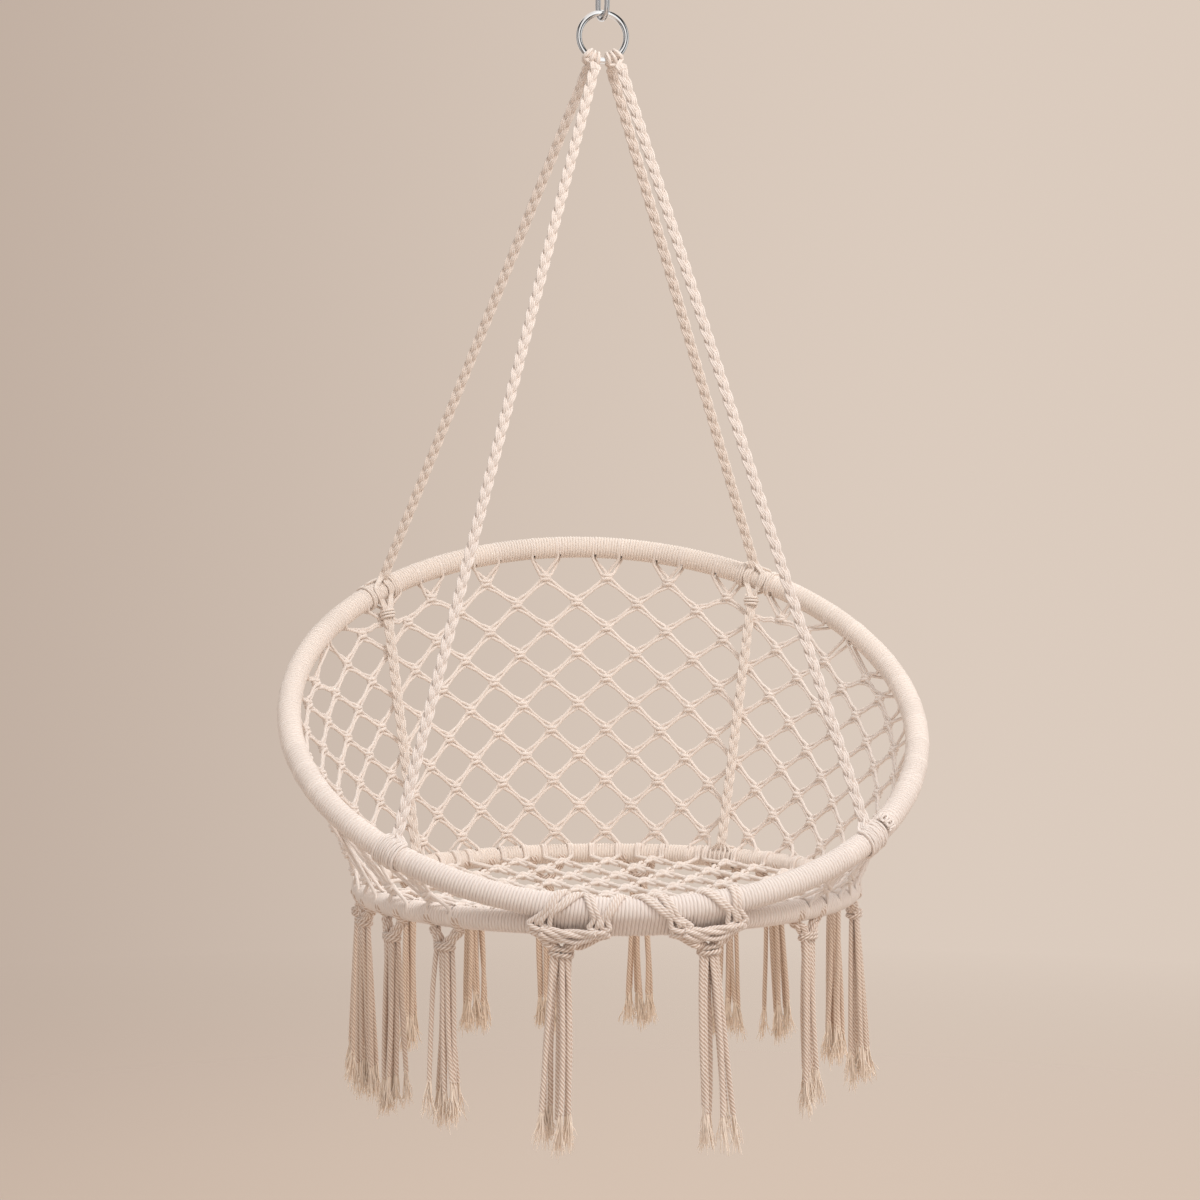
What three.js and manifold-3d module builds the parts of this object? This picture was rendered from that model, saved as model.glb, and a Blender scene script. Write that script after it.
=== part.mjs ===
// Hammock chair: two cord-wrapped steel hoops with a knotted net back and a knotted net seat,
// hung by four braided ropes from a steel ring and an oval steel link. Millimetres, +Z up,
// front towards -Y. The origin is inside the link's top bend, where the chair hangs.
import * as THREE from 'three';
import Module from 'manifold-3d';
import { mergeVertices } from 'three/addons/utils/BufferGeometryUtils.js';

const wasm = await Module();
wasm.setup();

// Steel hoops and the cord wound round them
const HOOP_OUTER_DIAMETER = 800;
const SEAT_OUTER_DIAMETER = 622;
const HOOP_TUBE_DIAMETER = 21;
const SEAT_TUBE_DIAMETER = 18;
const TUBE_WALL = 1.5;
const WRAP_THICKNESS = 3.7;
const CLEARANCE = 0.3;
const BUTT_SEAM = 0.6;
const HOOP_TILT = THREE.MathUtils.degToRad(31);
const FRONT_STACK_ANGLE = THREE.MathUtils.degToRad(51.5);
const LASHED_HALF_ANGLE = THREE.MathUtils.degToRad(17);
const LASHED_END_GAP = 3.2;
const LASHED_CLEARANCE = 0.6;

// Hanging hardware
const RING_OUTER_DIAMETER = 65;
const RING_WIRE_DIAMETER = 7;
const LINK_WIRE_DIAMETER = 6.5;
const LINK_INNER_WIDTH = 24.5;
const LINK_INNER_LENGTH = 66;
const LINK_TURN = THREE.MathUtils.degToRad(14);

// Where the seat ring's centre hangs below the steel ring's centre, and how far in front of it
const HANG_DROP = 1038;
const HANG_FORWARD = 19.7;
const HANG_LEFT = 1.7;

// Ropes
const ROPE_DIAMETER = 16;
const LOWER_ROPE_DIAMETER = 14;
const LOWER_ROPE_INSET = 12.5;
const ROPE_LOOP_THICKNESS = 5.5;
const ROPE_LOOP_FOOT_THICKNESS = 11.2;
const ROPE_LOOP_LEG = 12;
const ROPE_LOOP_ANGLE = THREE.MathUtils.degToRad(26.5);
const ROPE_LOOP_HALF_SPAN = THREE.MathUtils.degToRad(24);
const GATHER_KNOT_DIAMETER = 18;
const GATHER_KNOT_HEIGHT = 20;
const GATHER_KNOT_EDGE = 2.2;

// Windings that tie the ropes to the hoops
const TIE_CORD_DIAMETER = 4.5;
const TIE_PITCH = 5.2;
const HOOP_TIE_LOOPS = 4;
const SEAT_TIE_LOOPS = 3;
const TIE_SIDE_ROOM = 9;

// Net: paired cords knotted into diamonds
const NET_COLUMN_ANGLE = (2 * Math.PI) / 56;
const NET_ROWS = 11;
const NET_PANEL_COUNT = 7;
const NET_LONE_COLUMNS = [19, 21];
const NET_FULL_COLUMNS = 7;
const NET_ROW_PITCH = 34.5;
const NET_SIDE_DROOP = 6;
const NET_FIRST_ROW_HEIGHT = 30;
const NET_HOOP_MARGIN = 38;
const NET_TOP_SPREAD_SHARE = 0.42;
const NET_TIE_SPREAD_SHARE = 0.72;
const NET_FRONT_SPREAD_SHARE = 0.7;
const NET_SIDE_SPREAD_SHARE = 0.9;
const NET_FOOT_SPREAD_SHARE = 0.5;
const NET_PANEL_COLUMNS = 5;
const KNOT_HALF_WIDTH = 5.5;
const KNOT_HALF_HEIGHT = 5.5;
const NET_THICKNESS = 4.4;
const NET_END_HALF_WIDTH = 3.6;

// Seat net
const SEAT_COLUMN_PITCH = 30;
const SEAT_ROW_PITCH = 48;
const SEAT_NET_SAG = 12;
const SEAT_NET_MARGIN = 15;
const SEAT_ANCHOR_SHARE = 0.6;

// Tassels
const TASSEL_ANGLES_DEG = [-136, -118, -101, -85, -50.4, -29, -9, 15, 39, 53, 79, 103, 137];
const TASSEL_FOOT_DROP = 236;
const TASSEL_TOP_DIAMETER = 22;
const TASSEL_FOOT_DIAMETER = 34;
const TASSEL_FLUTE_DEPTH = 3;
const TASSEL_WAIST_SHARE = 1 / 3;
const TASSEL_KNOT_HALF_SIZE = 11;
const TASSEL_CORDS = 7;
const TASSEL_YOKE_SPREAD = 26;
const TASSEL_KNOT_DROP = 30;

// Knots on the front lashing, by their angles on the hoop: two on its face and one below them,
// from which a front tassel hangs
const FRONT_KNOTS_DEG = { left: [-173.5, -164.2, -167.5], right: [164.6, 173.8, 168.7] };
const FRONT_KNOT_SHARE = 0.5;
const FRONT_GATHER_DROP = 29;
const FRONT_GATHER_REACH = 14;
const FRONT_LEG_SPREAD = 16;
const FRONT_LEG_TURN = THREE.MathUtils.degToRad(30);
const FRONT_LEG_BENDS = 3;
const FRONT_TASSEL_DROP = 248;

// How finely curves are cut into flats
const HOOP_STEPS = 38;
const SEAT_STEPS = 34;
const TUBE_SIDES = 8;
const BORE_SIDES = 6;
const WRAP_SIDES = 10;
const ROPE_SIDES = 10;
const ROPE_STEPS = 2;
const TIE_STEPS = 12;
const TIE_SIDES = 5;
const LASHED_STATIONS = 8;
const LASHED_ARC_POINTS = 5;
const LINK_STEPS = 20;
const RING_STEPS = 28;
const WIRE_SIDES = 8;
const ROPE_LOOP_STEPS = 5;
const ROPE_LOOP_ARC_POINTS = 8;

// Sizes that follow
const hoopWrapRadius = HOOP_TUBE_DIAMETER / 2 + CLEARANCE + WRAP_THICKNESS;
const seatWrapRadius = SEAT_TUBE_DIAMETER / 2 + CLEARANCE + WRAP_THICKNESS;
const hoopRadius = HOOP_OUTER_DIAMETER / 2 - hoopWrapRadius;
const seatRadius = SEAT_OUTER_DIAMETER / 2 - seatWrapRadius;
const frontStack = (HOOP_TUBE_DIAMETER + SEAT_TUBE_DIAMETER) / 2 + CLEARANCE;
const hoopCentre = new THREE.Vector3(
  0,
  hoopRadius * Math.cos(HOOP_TILT) - seatRadius - frontStack * Math.cos(FRONT_STACK_ANGLE),
  hoopRadius * Math.sin(HOOP_TILT) + frontStack * Math.sin(FRONT_STACK_ANGLE),
);
const ringRadius = (RING_OUTER_DIAMETER - RING_WIRE_DIAMETER) / 2;
const ringCentreZ = CLEARANCE + RING_WIRE_DIAMETER / 2 - ringRadius - LINK_INNER_LENGTH;

const loopInner = RING_WIRE_DIAMETER / 2 / Math.cos(Math.PI / ROPE_LOOP_ARC_POINTS / 2) + CLEARANCE;
const loopOuter = loopInner + ROPE_LOOP_THICKNESS;
const loopFootEnd = loopInner + ROPE_LOOP_FOOT_THICKNESS;
const netLastColumn = (NET_PANEL_COUNT * NET_PANEL_COLUMNS - 1) / 2;

const steel = { color: 0xc9ccd0, roughness: 0.16, metalness: 1 };
const tubeSteel = { color: 0x8f9296, roughness: 0.45, metalness: 0.9 };
const cotton = { color: 0xe9ddcc, roughness: 0.95, metalness: 0 };
const wrapCotton = { color: 0xe4d6c5, roughness: 0.95, metalness: 0 };
const netCotton = { color: 0xddccb6, roughness: 0.95, metalness: 0 };

const UP = new THREE.Vector3(0, 0, 1);

const chair = new THREE.Group();
const steelwork = new THREE.Group();
const seatCentre = new THREE.Group();
seatCentre.position.set(HANG_LEFT, -HANG_FORWARD, ringCentreZ - HANG_DROP);
chair.add(steelwork, seatCentre);

function addPiece(parent, name, geometry, finish) {
  const mesh = new THREE.Mesh(geometry, new THREE.MeshStandardMaterial(finish));
  mesh.name = name;
  parent.add(mesh);
  return mesh;
}

// An arc of a circle in the XY plane, its angle measured from +Y towards +X
class RingArc extends THREE.Curve {
  constructor(radius, start, end) {
    super();
    Object.assign(this, { radius, start, end });
  }

  getPoint(t, target = new THREE.Vector3()) {
    const angle = this.start + t * (this.end - this.start);
    return target.set(this.radius * Math.sin(angle), this.radius * Math.cos(angle), 0);
  }

  computeFrenetFrames(segments) {
    const frames = { tangents: [], normals: [], binormals: [] };
    for (let i = 0; i <= segments; i += 1) {
      const angle = this.start + (i / segments) * (this.end - this.start);
      frames.tangents.push(new THREE.Vector3(Math.cos(angle), -Math.sin(angle), 0));
      frames.normals.push(new THREE.Vector3(Math.sin(angle), Math.cos(angle), 0));
      frames.binormals.push(new THREE.Vector3(0, 0, 1));
    }
    return frames;
  }
}

function roundSection(radius, sides) {
  const points = Array.from({ length: sides }, (_, i) => {
    const angle = (2 * Math.PI * (i + 0.5)) / sides;
    return new THREE.Vector2(radius * Math.cos(angle), radius * Math.sin(angle));
  });
  return new THREE.Shape(points);
}

function pipeSection(outerRadius, outerSides, innerRadius, innerSides) {
  const section = roundSection(outerRadius, outerSides);
  section.holes.push(new THREE.Path(roundSection(innerRadius, innerSides).getPoints()));
  return section;
}

function sweep(section, path, steps) {
  return new THREE.ExtrudeGeometry(section, { steps, extrudePath: path, bevelEnabled: false });
}

function ringPoint(radius, angle) {
  return new THREE.Vector3(radius * Math.sin(angle), radius * Math.cos(angle), 0);
}

// The wraps are flat-sided in the model, so whatever seats on one is placed on its chords
function onChord(radius, angle, seamHalf, steps) {
  const step = (2 * Math.PI - 2 * seamHalf) / steps;
  const start = seamHalf - Math.PI;
  const place = THREE.MathUtils.euclideanModulo(angle - start, 2 * Math.PI) / step;
  if (place >= steps) {
    return ringPoint(radius, angle);
  }
  const from = start + Math.floor(place) * step;
  return ringPoint(radius, from).lerp(ringPoint(radius, from + step), place - Math.floor(place));
}

const hoopTurn = new THREE.Matrix4().makeRotationX(HOOP_TILT).setPosition(hoopCentre);
const wrapSeamHalf = LASHED_HALF_ANGLE + LASHED_END_GAP / hoopRadius;

function hoopPoint(angle) {
  return onChord(hoopRadius, angle, wrapSeamHalf, HOOP_STEPS).applyMatrix4(hoopTurn);
}

function planAngle(point) {
  return Math.atan2(point.x, point.y);
}

const lashedEnd = ringPoint(hoopRadius, Math.PI - LASHED_HALF_ANGLE).applyMatrix4(hoopTurn);
const seatSeamHalf = Math.PI - planAngle(lashedEnd) + LASHED_END_GAP / seatRadius;

function seatPoint(angle) {
  return onChord(seatRadius, angle, seatSeamHalf, SEAT_STEPS);
}

function tangentAt(pointAt, angle) {
  const step = NET_COLUMN_ANGLE / 100;
  return pointAt(angle + step).sub(pointAt(angle - step)).normalize();
}

// Steel tubes: bent round and butted end to end under the front lashing
function buildTubes() {
  const hoopHalf = BUTT_SEAM / hoopRadius / 2;
  const hoopSection = pipeSection(
    HOOP_TUBE_DIAMETER / 2, TUBE_SIDES, HOOP_TUBE_DIAMETER / 2 - TUBE_WALL, BORE_SIDES,
  );
  const hoopArc = new TubeArc(hoopRadius, wrapSeamHalf, hoopHalf, HOOP_STEPS);
  const hoopTube = addPiece(seatCentre, 'hoop_tube', hoopArc.sweep(hoopSection), tubeSteel);
  hoopTube.applyMatrix4(hoopTurn);
  const seatHalf = BUTT_SEAM / seatRadius / 2;
  const seatSection = pipeSection(
    SEAT_TUBE_DIAMETER / 2, TUBE_SIDES, SEAT_TUBE_DIAMETER / 2 - TUBE_WALL, BORE_SIDES,
  );
  const seatArc = new TubeArc(seatRadius, seatSeamHalf, seatHalf, SEAT_STEPS);
  addPiece(seatCentre, 'seat_ring_tube', seatArc.sweep(seatSection), tubeSteel);
}

// A steel tube's arc shares its wrap's chords and runs on past them to its own seam
class TubeArc extends THREE.Curve {
  constructor(radius, wrapHalf, seamHalf, wrapSteps) {
    super();
    this.radius = radius;
    const bare = LASHED_STATIONS / 2;
    const angles = [];
    for (let i = 0; i < bare; i += 1) {
      angles.push(seamHalf - Math.PI + (i / bare) * (wrapHalf - seamHalf));
    }
    for (let i = 0; i <= wrapSteps; i += 1) {
      angles.push(wrapHalf - Math.PI + (i / wrapSteps) * (2 * Math.PI - 2 * wrapHalf));
    }
    for (let i = 1; i <= bare; i += 1) {
      angles.push(Math.PI - wrapHalf + (i / bare) * (wrapHalf - seamHalf));
    }
    this.angles = angles;
  }

  getSpacedPoints() {
    return this.angles.map((angle) => ringPoint(this.radius, angle));
  }

  computeFrenetFrames() {
    return {
      tangents: this.angles.map((a) => new THREE.Vector3(Math.cos(a), -Math.sin(a), 0)),
      normals: this.angles.map((a) => new THREE.Vector3(Math.sin(a), Math.cos(a), 0)),
      binormals: this.angles.map(() => new THREE.Vector3(0, 0, 1)),
    };
  }

  sweep(section) {
    return sweep(section, this, this.angles.length - 1);
  }
}

// Cord wrap: a sleeve of close turns from one side of the front lashing round to the other
function buildWraps() {
  const hoopSection = pipeSection(
    hoopWrapRadius, WRAP_SIDES, HOOP_TUBE_DIAMETER / 2 + CLEARANCE, TUBE_SIDES,
  );
  const hoopArc = new RingArc(hoopRadius, wrapSeamHalf - Math.PI, Math.PI - wrapSeamHalf);
  const hoopWrap = addPiece(seatCentre, 'hoop_wrap', sweep(hoopSection, hoopArc, HOOP_STEPS), wrapCotton);
  hoopWrap.applyMatrix4(hoopTurn);
  const seatSection = pipeSection(
    seatWrapRadius, WRAP_SIDES, SEAT_TUBE_DIAMETER / 2 + CLEARANCE, TUBE_SIDES,
  );
  const seatArc = new RingArc(seatRadius, seatSeamHalf - Math.PI, Math.PI - seatSeamHalf);
  addPiece(seatCentre, 'seat_ring_wrap', sweep(seatSection, seatArc, SEAT_STEPS), wrapCotton);
}

// Closed shape of flat-sided straps and knots that share their corner points
class StrapMesh {
  constructor() {
    this.positions = [];
    this.indices = [];
  }

  add(point) {
    this.positions.push(point.x, point.y, point.z);
    return this.positions.length / 3 - 1;
  }

  quad(a, b, c, d) {
    this.indices.push(a, b, c, a, c, d);
  }

  // Joins two rings of equal count, the first seen anticlockwise from outside its far end
  tube(from, to) {
    from.forEach((corner, i) => {
      const next = (i + 1) % from.length;
      this.quad(corner, from[next], to[next], to[i]);
    });
  }

  cap(ring) {
    for (let i = 1; i < ring.length - 1; i += 1) {
      this.indices.push(ring[0], ring[i], ring[i + 1]);
    }
  }

  fan(ring, middle) {
    const tip = this.add(middle);
    ring.forEach((corner, i) => this.indices.push(tip, corner, ring[(i + 1) % ring.length]));
  }

  geometry() {
    const geometry = new THREE.BufferGeometry();
    geometry.setAttribute('position', new THREE.Float32BufferAttribute(this.positions, 3));
    geometry.setIndex(this.indices);
    return geometry;
  }
}

// A knot is a diamond slab, and straps leave from the four ports on its edges. A port's corners
// are the front and back of one diamond corner, then the back and front of the next.
class Knot {
  constructor(mesh, centre, across, up, halfWidth, halfHeight) {
    const normal = across.clone().cross(up).normalize();
    this.mesh = mesh;
    this.centre = centre;
    this.free = { upRight: true, upLeft: true, downLeft: true, downRight: true };
    const corner = (u, v, n) => mesh.add(
      centre.clone()
        .addScaledVector(across, u * halfWidth)
        .addScaledVector(up, v * halfHeight)
        .addScaledVector(normal, (n * NET_THICKNESS) / 2),
    );
    const front = [corner(1, 0, 1), corner(0, 1, 1), corner(-1, 0, 1), corner(0, -1, 1)];
    const back = [corner(1, 0, -1), corner(0, 1, -1), corner(-1, 0, -1), corner(0, -1, -1)];
    mesh.quad(...front);
    mesh.quad(back[3], back[2], back[1], back[0]);
    this.ports = {};
    ['upRight', 'upLeft', 'downLeft', 'downRight'].forEach((side, i) => {
      const next = (i + 1) % 4;
      this.ports[side] = [front[i], back[i], back[next], front[next]];
    });
  }

  // The port's corners, marked as used
  take(side) {
    this.free[side] = false;
    return this.ports[side];
  }

  closeFreePorts() {
    Object.keys(this.free).filter((side) => this.free[side]).forEach((side) => {
      this.mesh.cap(this.ports[side]);
    });
  }
}

function pointOf(mesh, index) {
  return new THREE.Vector3().fromArray(mesh.positions, index * 3);
}

function portCorners(knot, side) {
  return knot.ports[side].map((index) => pointOf(knot.mesh, index));
}

// A strap from one knot's port to another knot's port, corner to corner
function strapBetween(knotA, sideA, knotB, sideB) {
  const [a0, a1, a2, a3] = knotA.take(sideA);
  const [b0, b1, b2, b3] = knotB.take(sideB);
  knotA.mesh.tube([a0, a1, a2, a3], [b3, b2, b1, b0]);
}

// A strap from a port through rings of four points, closed at its end
function strapThrough(knot, side, rings) {
  let from = knot.take(side);
  rings.forEach((ring) => {
    const to = ring.map((point) => knot.mesh.add(point));
    knot.mesh.tube(from, to);
    from = to;
  });
  knot.mesh.cap(from);
}

// Four corners round a point, in the order of the four corners before them
function nextRing(before, centre, along, thick, halfWidth) {
  const wide = before[0].clone().add(before[1]).sub(before[2]).sub(before[3]);
  const deep = before[0].clone().add(before[3]).sub(before[1]).sub(before[2]);
  const u = along.clone().multiplyScalar(Math.sign(along.dot(wide)) * halfWidth);
  const n = thick.clone().multiplyScalar((Math.sign(thick.dot(deep)) * NET_THICKNESS) / 2);
  return [
    centre.clone().add(u).add(n),
    centre.clone().add(u).sub(n),
    centre.clone().sub(u).sub(n),
    centre.clone().sub(u).add(n),
  ];
}

// A strap's angle on the seat ring, moved aside where a lower rope is tied there
function clearOfSeatTies(angle) {
  const room = (SEAT_TIE_LOOPS * TIE_PITCH + TIE_CORD_DIAMETER) / 2 + NET_END_HALF_WIDTH + TIE_SIDE_ROOM;
  const tie = Object.values(LOWER_ROPES).find(({ foot }) => Math.abs(foot - angle) < room / seatRadius);
  return tie ? tie.foot + (Math.sign(angle - tie.foot) * room) / seatRadius : angle;
}

// A strap that ends against a wrapped hoop or ring
function strapToTube(knot, side, pointAt, angle, wrapRadius) {
  const target = pointAt(angle);
  const tangent = tangentAt(pointAt, angle);
  const away = knot.centre.clone().sub(target);
  away.addScaledVector(tangent, -away.dot(tangent)).normalize();
  const thick = tangent.clone().cross(away);
  const centre = target.clone().addScaledVector(away, wrapRadius + CLEARANCE);
  strapThrough(knot, side, [nextRing(portCorners(knot, side), centre, tangent, thick, NET_END_HALF_WIDTH)]);
}

// A strap cut half way to a knot of the neighbouring panel
function strapToPanelEdge(knot, side, otherCentre, across, up) {
  const middle = knot.centre.clone().add(otherCentre).multiplyScalar(0.5);
  const way = otherCentre.clone().sub(knot.centre).normalize();
  const centre = middle.addScaledVector(way, -CLEARANCE / 2);
  const normal = across.clone().cross(up).normalize();
  const along = normal.clone().cross(way).normalize();
  strapThrough(knot, side, [nextRing(portCorners(knot, side), centre, along, normal, NET_END_HALF_WIDTH)]);
}

// The back net lies on the straight lines from the seat ring up to the hoop
function netLine(column) {
  const angle = column * NET_COLUMN_ANGLE;
  const foot = seatPoint(angle);
  const head = hoopPoint(angle);
  return { angle, foot, head, length: head.distanceTo(foot) };
}

function netKnotHeight(column, row) {
  const line = netLine(column);
  const pitch = NET_ROW_PITCH - NET_SIDE_DROOP * Math.sin(line.angle) ** 2;
  const height = NET_FIRST_ROW_HEIGHT + (NET_ROWS - row) * pitch;
  return Math.min(height, line.length - NET_HOOP_MARGIN);
}

function netHasKnot(column, row) {
  const side = Math.abs(column);
  const topRow = Math.min(Math.max(1, side - NET_FULL_COLUMNS + 1), NET_ROWS);
  const lone = NET_LONE_COLUMNS.includes(side) && row === NET_ROWS;
  const inside = side <= netLastColumn && row >= topRow && row <= NET_ROWS;
  return lone || (inside && (column + row) % 2 === 0);
}

function netKnotFrame(column, row) {
  const line = netLine(column);
  const up = line.head.clone().sub(line.foot).normalize();
  const centre = line.foot.clone().addScaledVector(up, netKnotHeight(column, row));
  const across = new THREE.Vector3(Math.cos(line.angle), -Math.sin(line.angle), 0);
  across.addScaledVector(up, -across.dot(up)).normalize();
  return { centre, across, up };
}

// How far aside a knot's straps reach the hoop; they pass clear of a rope's tie above the knot
function netSpread(column, row) {
  const angle = column * NET_COLUMN_ANGLE;
  if (Object.values(ROPES).some((rope) => Math.abs(rope.angle - angle) < NET_COLUMN_ANGLE / 2)) {
    return NET_TIE_SPREAD_SHARE;
  }
  if (row === 1) {
    return NET_TOP_SPREAD_SHARE;
  }
  return row === NET_ROWS ? NET_FRONT_SPREAD_SHARE : NET_SIDE_SPREAD_SHARE;
}

const STEP_OF_SIDE = { upRight: [1, -1], upLeft: [-1, -1], downLeft: [-1, 1], downRight: [1, 1] };
const FACING_SIDE = { upRight: 'downLeft', upLeft: 'downRight', downLeft: 'upRight', downRight: 'upLeft' };

function buildNetPanel(name, firstColumn, lastColumn) {
  const mesh = new StrapMesh();
  const knots = new Map();
  for (let column = firstColumn; column <= lastColumn; column += 1) {
    for (let row = 1; row <= NET_ROWS; row += 1) {
      if (netHasKnot(column, row)) {
        const { centre, across, up } = netKnotFrame(column, row);
        const knot = new Knot(mesh, centre, across, up, KNOT_HALF_WIDTH, KNOT_HALF_HEIGHT);
        knots.set(`${column},${row}`, { knot, column, row, across, up });
      }
    }
  }
  knots.forEach(({ knot, column, row, across, up }) => {
    Object.entries(STEP_OF_SIDE).forEach(([side, [dc, dr]]) => {
      const other = knots.get(`${column + dc},${row + dr}`);
      if (other) {
        if (dr > 0) {
          strapBetween(knot, side, other.knot, FACING_SIDE[side]);
        }
      } else if (netHasKnot(column + dc, row + dr)) {
        const neighbour = netKnotFrame(column + dc, row + dr);
        strapToPanelEdge(knot, side, neighbour.centre, across, up);
      } else if (dr > 0) {
        const angle = (column + dc * NET_FOOT_SPREAD_SHARE) * NET_COLUMN_ANGLE;
        strapToTube(knot, side, seatPoint, clearOfSeatTies(angle), seatWrapRadius);
      } else {
        const angle = (column + dc * netSpread(column, row)) * NET_COLUMN_ANGLE;
        strapToTube(knot, side, hoopPoint, angle, hoopWrapRadius);
      }
    });
  });
  addPiece(seatCentre, name, mesh.geometry(), netCotton);
}

// Seven panels side by side, and forward of them lone knots between the hoop and the seat ring
function buildBackNet() {
  for (let number = 1; number <= NET_PANEL_COUNT; number += 1) {
    const last = number * NET_PANEL_COLUMNS - netLastColumn - 1;
    buildNetPanel(`back_net_${number}`, last - NET_PANEL_COLUMNS + 1, last);
  }
  NET_LONE_COLUMNS.forEach((column, i) => {
    buildNetPanel(`side_knot_left_${i + 1}`, -column, -column);
    buildNetPanel(`side_knot_right_${i + 1}`, column, column);
  });
}

// The seat net is a flat diamond net that sags a little inside the seat ring
const seatNetRadius = seatRadius - seatWrapRadius;

function seatNetCentre(column, row) {
  const x = column * SEAT_COLUMN_PITCH;
  const y = row * SEAT_ROW_PITCH;
  const share = Math.min(Math.hypot(x, y) / seatNetRadius, 1);
  return new THREE.Vector3(x, y, -SEAT_NET_SAG * (1 - share ** 2));
}

function seatNetHasKnot(column, row) {
  const centre = seatNetCentre(column, row);
  const inside = Math.hypot(centre.x, centre.y) < seatNetRadius - SEAT_NET_MARGIN;
  return inside && (column + row) % 2 === 0;
}

function buildSeatNet() {
  const mesh = new StrapMesh();
  const knots = new Map();
  const columns = Math.ceil(seatRadius / SEAT_COLUMN_PITCH);
  const rows = Math.ceil(seatRadius / SEAT_ROW_PITCH);
  const across = new THREE.Vector3(1, 0, 0);
  const up = new THREE.Vector3(0, 1, 0);
  for (let column = -columns; column <= columns; column += 1) {
    for (let row = -rows; row <= rows; row += 1) {
      if (seatNetHasKnot(column, row)) {
        const knot = new Knot(
          mesh, seatNetCentre(column, row), across, up, KNOT_HALF_WIDTH, KNOT_HALF_HEIGHT,
        );
        knots.set(`${column},${row}`, { knot, column, row });
      }
    }
  }
  knots.forEach(({ knot, column, row }) => {
    Object.entries(STEP_OF_SIDE).forEach(([side, [dc, dr]]) => {
      const other = knots.get(`${column + dc},${row - dr}`);
      if (other) {
        if (dr > 0) {
          strapBetween(knot, side, other.knot, FACING_SIDE[side]);
        }
      } else {
        const here = planAngle(knot.centre);
        const there = planAngle(seatNetCentre(column + dc, row - dr));
        const turn = THREE.MathUtils.euclideanModulo(there - here + Math.PI, 2 * Math.PI) - Math.PI;
        const angle = clearOfSeatTies(here + turn * SEAT_ANCHOR_SHARE);
        strapToTube(knot, side, seatPoint, angle, seatWrapRadius);
      }
    });
  });
  addPiece(seatCentre, 'seat_net', mesh.geometry(), netCotton);
}

// Outline round two circles, as points in the plane of a station
function wrapOutline(from, fromRadius, to, toRadius, side) {
  const between = to.clone().sub(from).normalize();
  const across = side.clone().cross(between).normalize();
  const points = [];
  [[to, toRadius, 0], [from, fromRadius, Math.PI]].forEach(([centre, radius, turn]) => {
    for (let i = 0; i < LASHED_ARC_POINTS; i += 1) {
      const angle = turn + Math.PI * (i / (LASHED_ARC_POINTS - 1) - 0.5);
      points.push(
        centre.clone()
          .addScaledVector(between, radius * Math.cos(angle))
          .addScaledVector(across, radius * Math.sin(angle)),
      );
    }
  });
  return points;
}

function lashedStation(angle) {
  const hoop = ringPoint(hoopRadius, angle).applyMatrix4(hoopTurn);
  const plan = planAngle(hoop);
  const seat = ringPoint(seatRadius, plan);
  return { hoop, seat, side: new THREE.Vector3(Math.cos(plan), -Math.sin(plan), 0) };
}

// Corner radius whose flats clear a round tube inside them
function roundSize(radius) {
  return (radius + LASHED_CLEARANCE) / Math.cos(Math.PI / (LASHED_ARC_POINTS - 1) / 2);
}

// Front lashing: one winding round both bare tubes, where the hoop stands on the seat ring
function buildFrontLashing() {
  const mesh = new StrapMesh();
  let outerBefore = null;
  let innerBefore = null;
  for (let i = 0; i <= LASHED_STATIONS; i += 1) {
    const angle = Math.PI + ((2 * i) / LASHED_STATIONS - 1) * LASHED_HALF_ANGLE;
    const { hoop, seat, side } = lashedStation(angle);
    const outer = wrapOutline(seat, seatWrapRadius, hoop, hoopWrapRadius, side)
      .map((point) => mesh.add(point));
    const inner = wrapOutline(
      seat, roundSize(SEAT_TUBE_DIAMETER / 2), hoop, roundSize(HOOP_TUBE_DIAMETER / 2), side,
    ).map((point) => mesh.add(point));
    if (outerBefore) {
      mesh.tube(outerBefore, outer);
      mesh.tube([...innerBefore].reverse(), [...inner].reverse());
    }
    const rims = i === 0 ? [inner, outer] : [outer, inner];
    if (i === 0 || i === LASHED_STATIONS) {
      mesh.tube(...rims);
    }
    outerBefore = outer;
    innerBefore = inner;
  }
  addPiece(seatCentre, 'front_lashing', mesh.geometry(), wrapCotton);
}

// Outside radius of a tie's winding, whose flats clear the wrap that it grips
function tieRadius(wrapRadius) {
  const reach = wrapRadius + TIE_CORD_DIAMETER / 2 + 2 * CLEARANCE;
  return reach / Math.cos(Math.PI / TIE_STEPS) + TIE_CORD_DIAMETER / 2;
}

// A cord wound round a hoop: a helix whose axis follows the hoop
class TieWinding extends THREE.Curve {
  constructor(pointAt, angle, ringSize, wrapRadius, loops) {
    super();
    Object.assign(this, { pointAt, angle, loops });
    this.halfSpan = (loops * TIE_PITCH) / ringSize / 2;
    this.radius = tieRadius(wrapRadius) - TIE_CORD_DIAMETER / 2;
  }

  getPoint(t, target = new THREE.Vector3()) {
    const angle = this.angle + (2 * t - 1) * this.halfSpan;
    const tangent = tangentAt(this.pointAt, this.angle);
    const inward = this.pointAt(this.angle).sub(this.pointAt(this.angle + Math.PI)).normalize();
    inward.addScaledVector(tangent, -inward.dot(tangent)).normalize();
    const third = tangent.clone().cross(inward);
    const turn = 2 * Math.PI * this.loops * t + Math.PI / 2;
    return target.copy(this.pointAt(angle))
      .addScaledVector(inward, this.radius * Math.cos(turn))
      .addScaledVector(third, this.radius * Math.sin(turn));
  }
}

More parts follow.
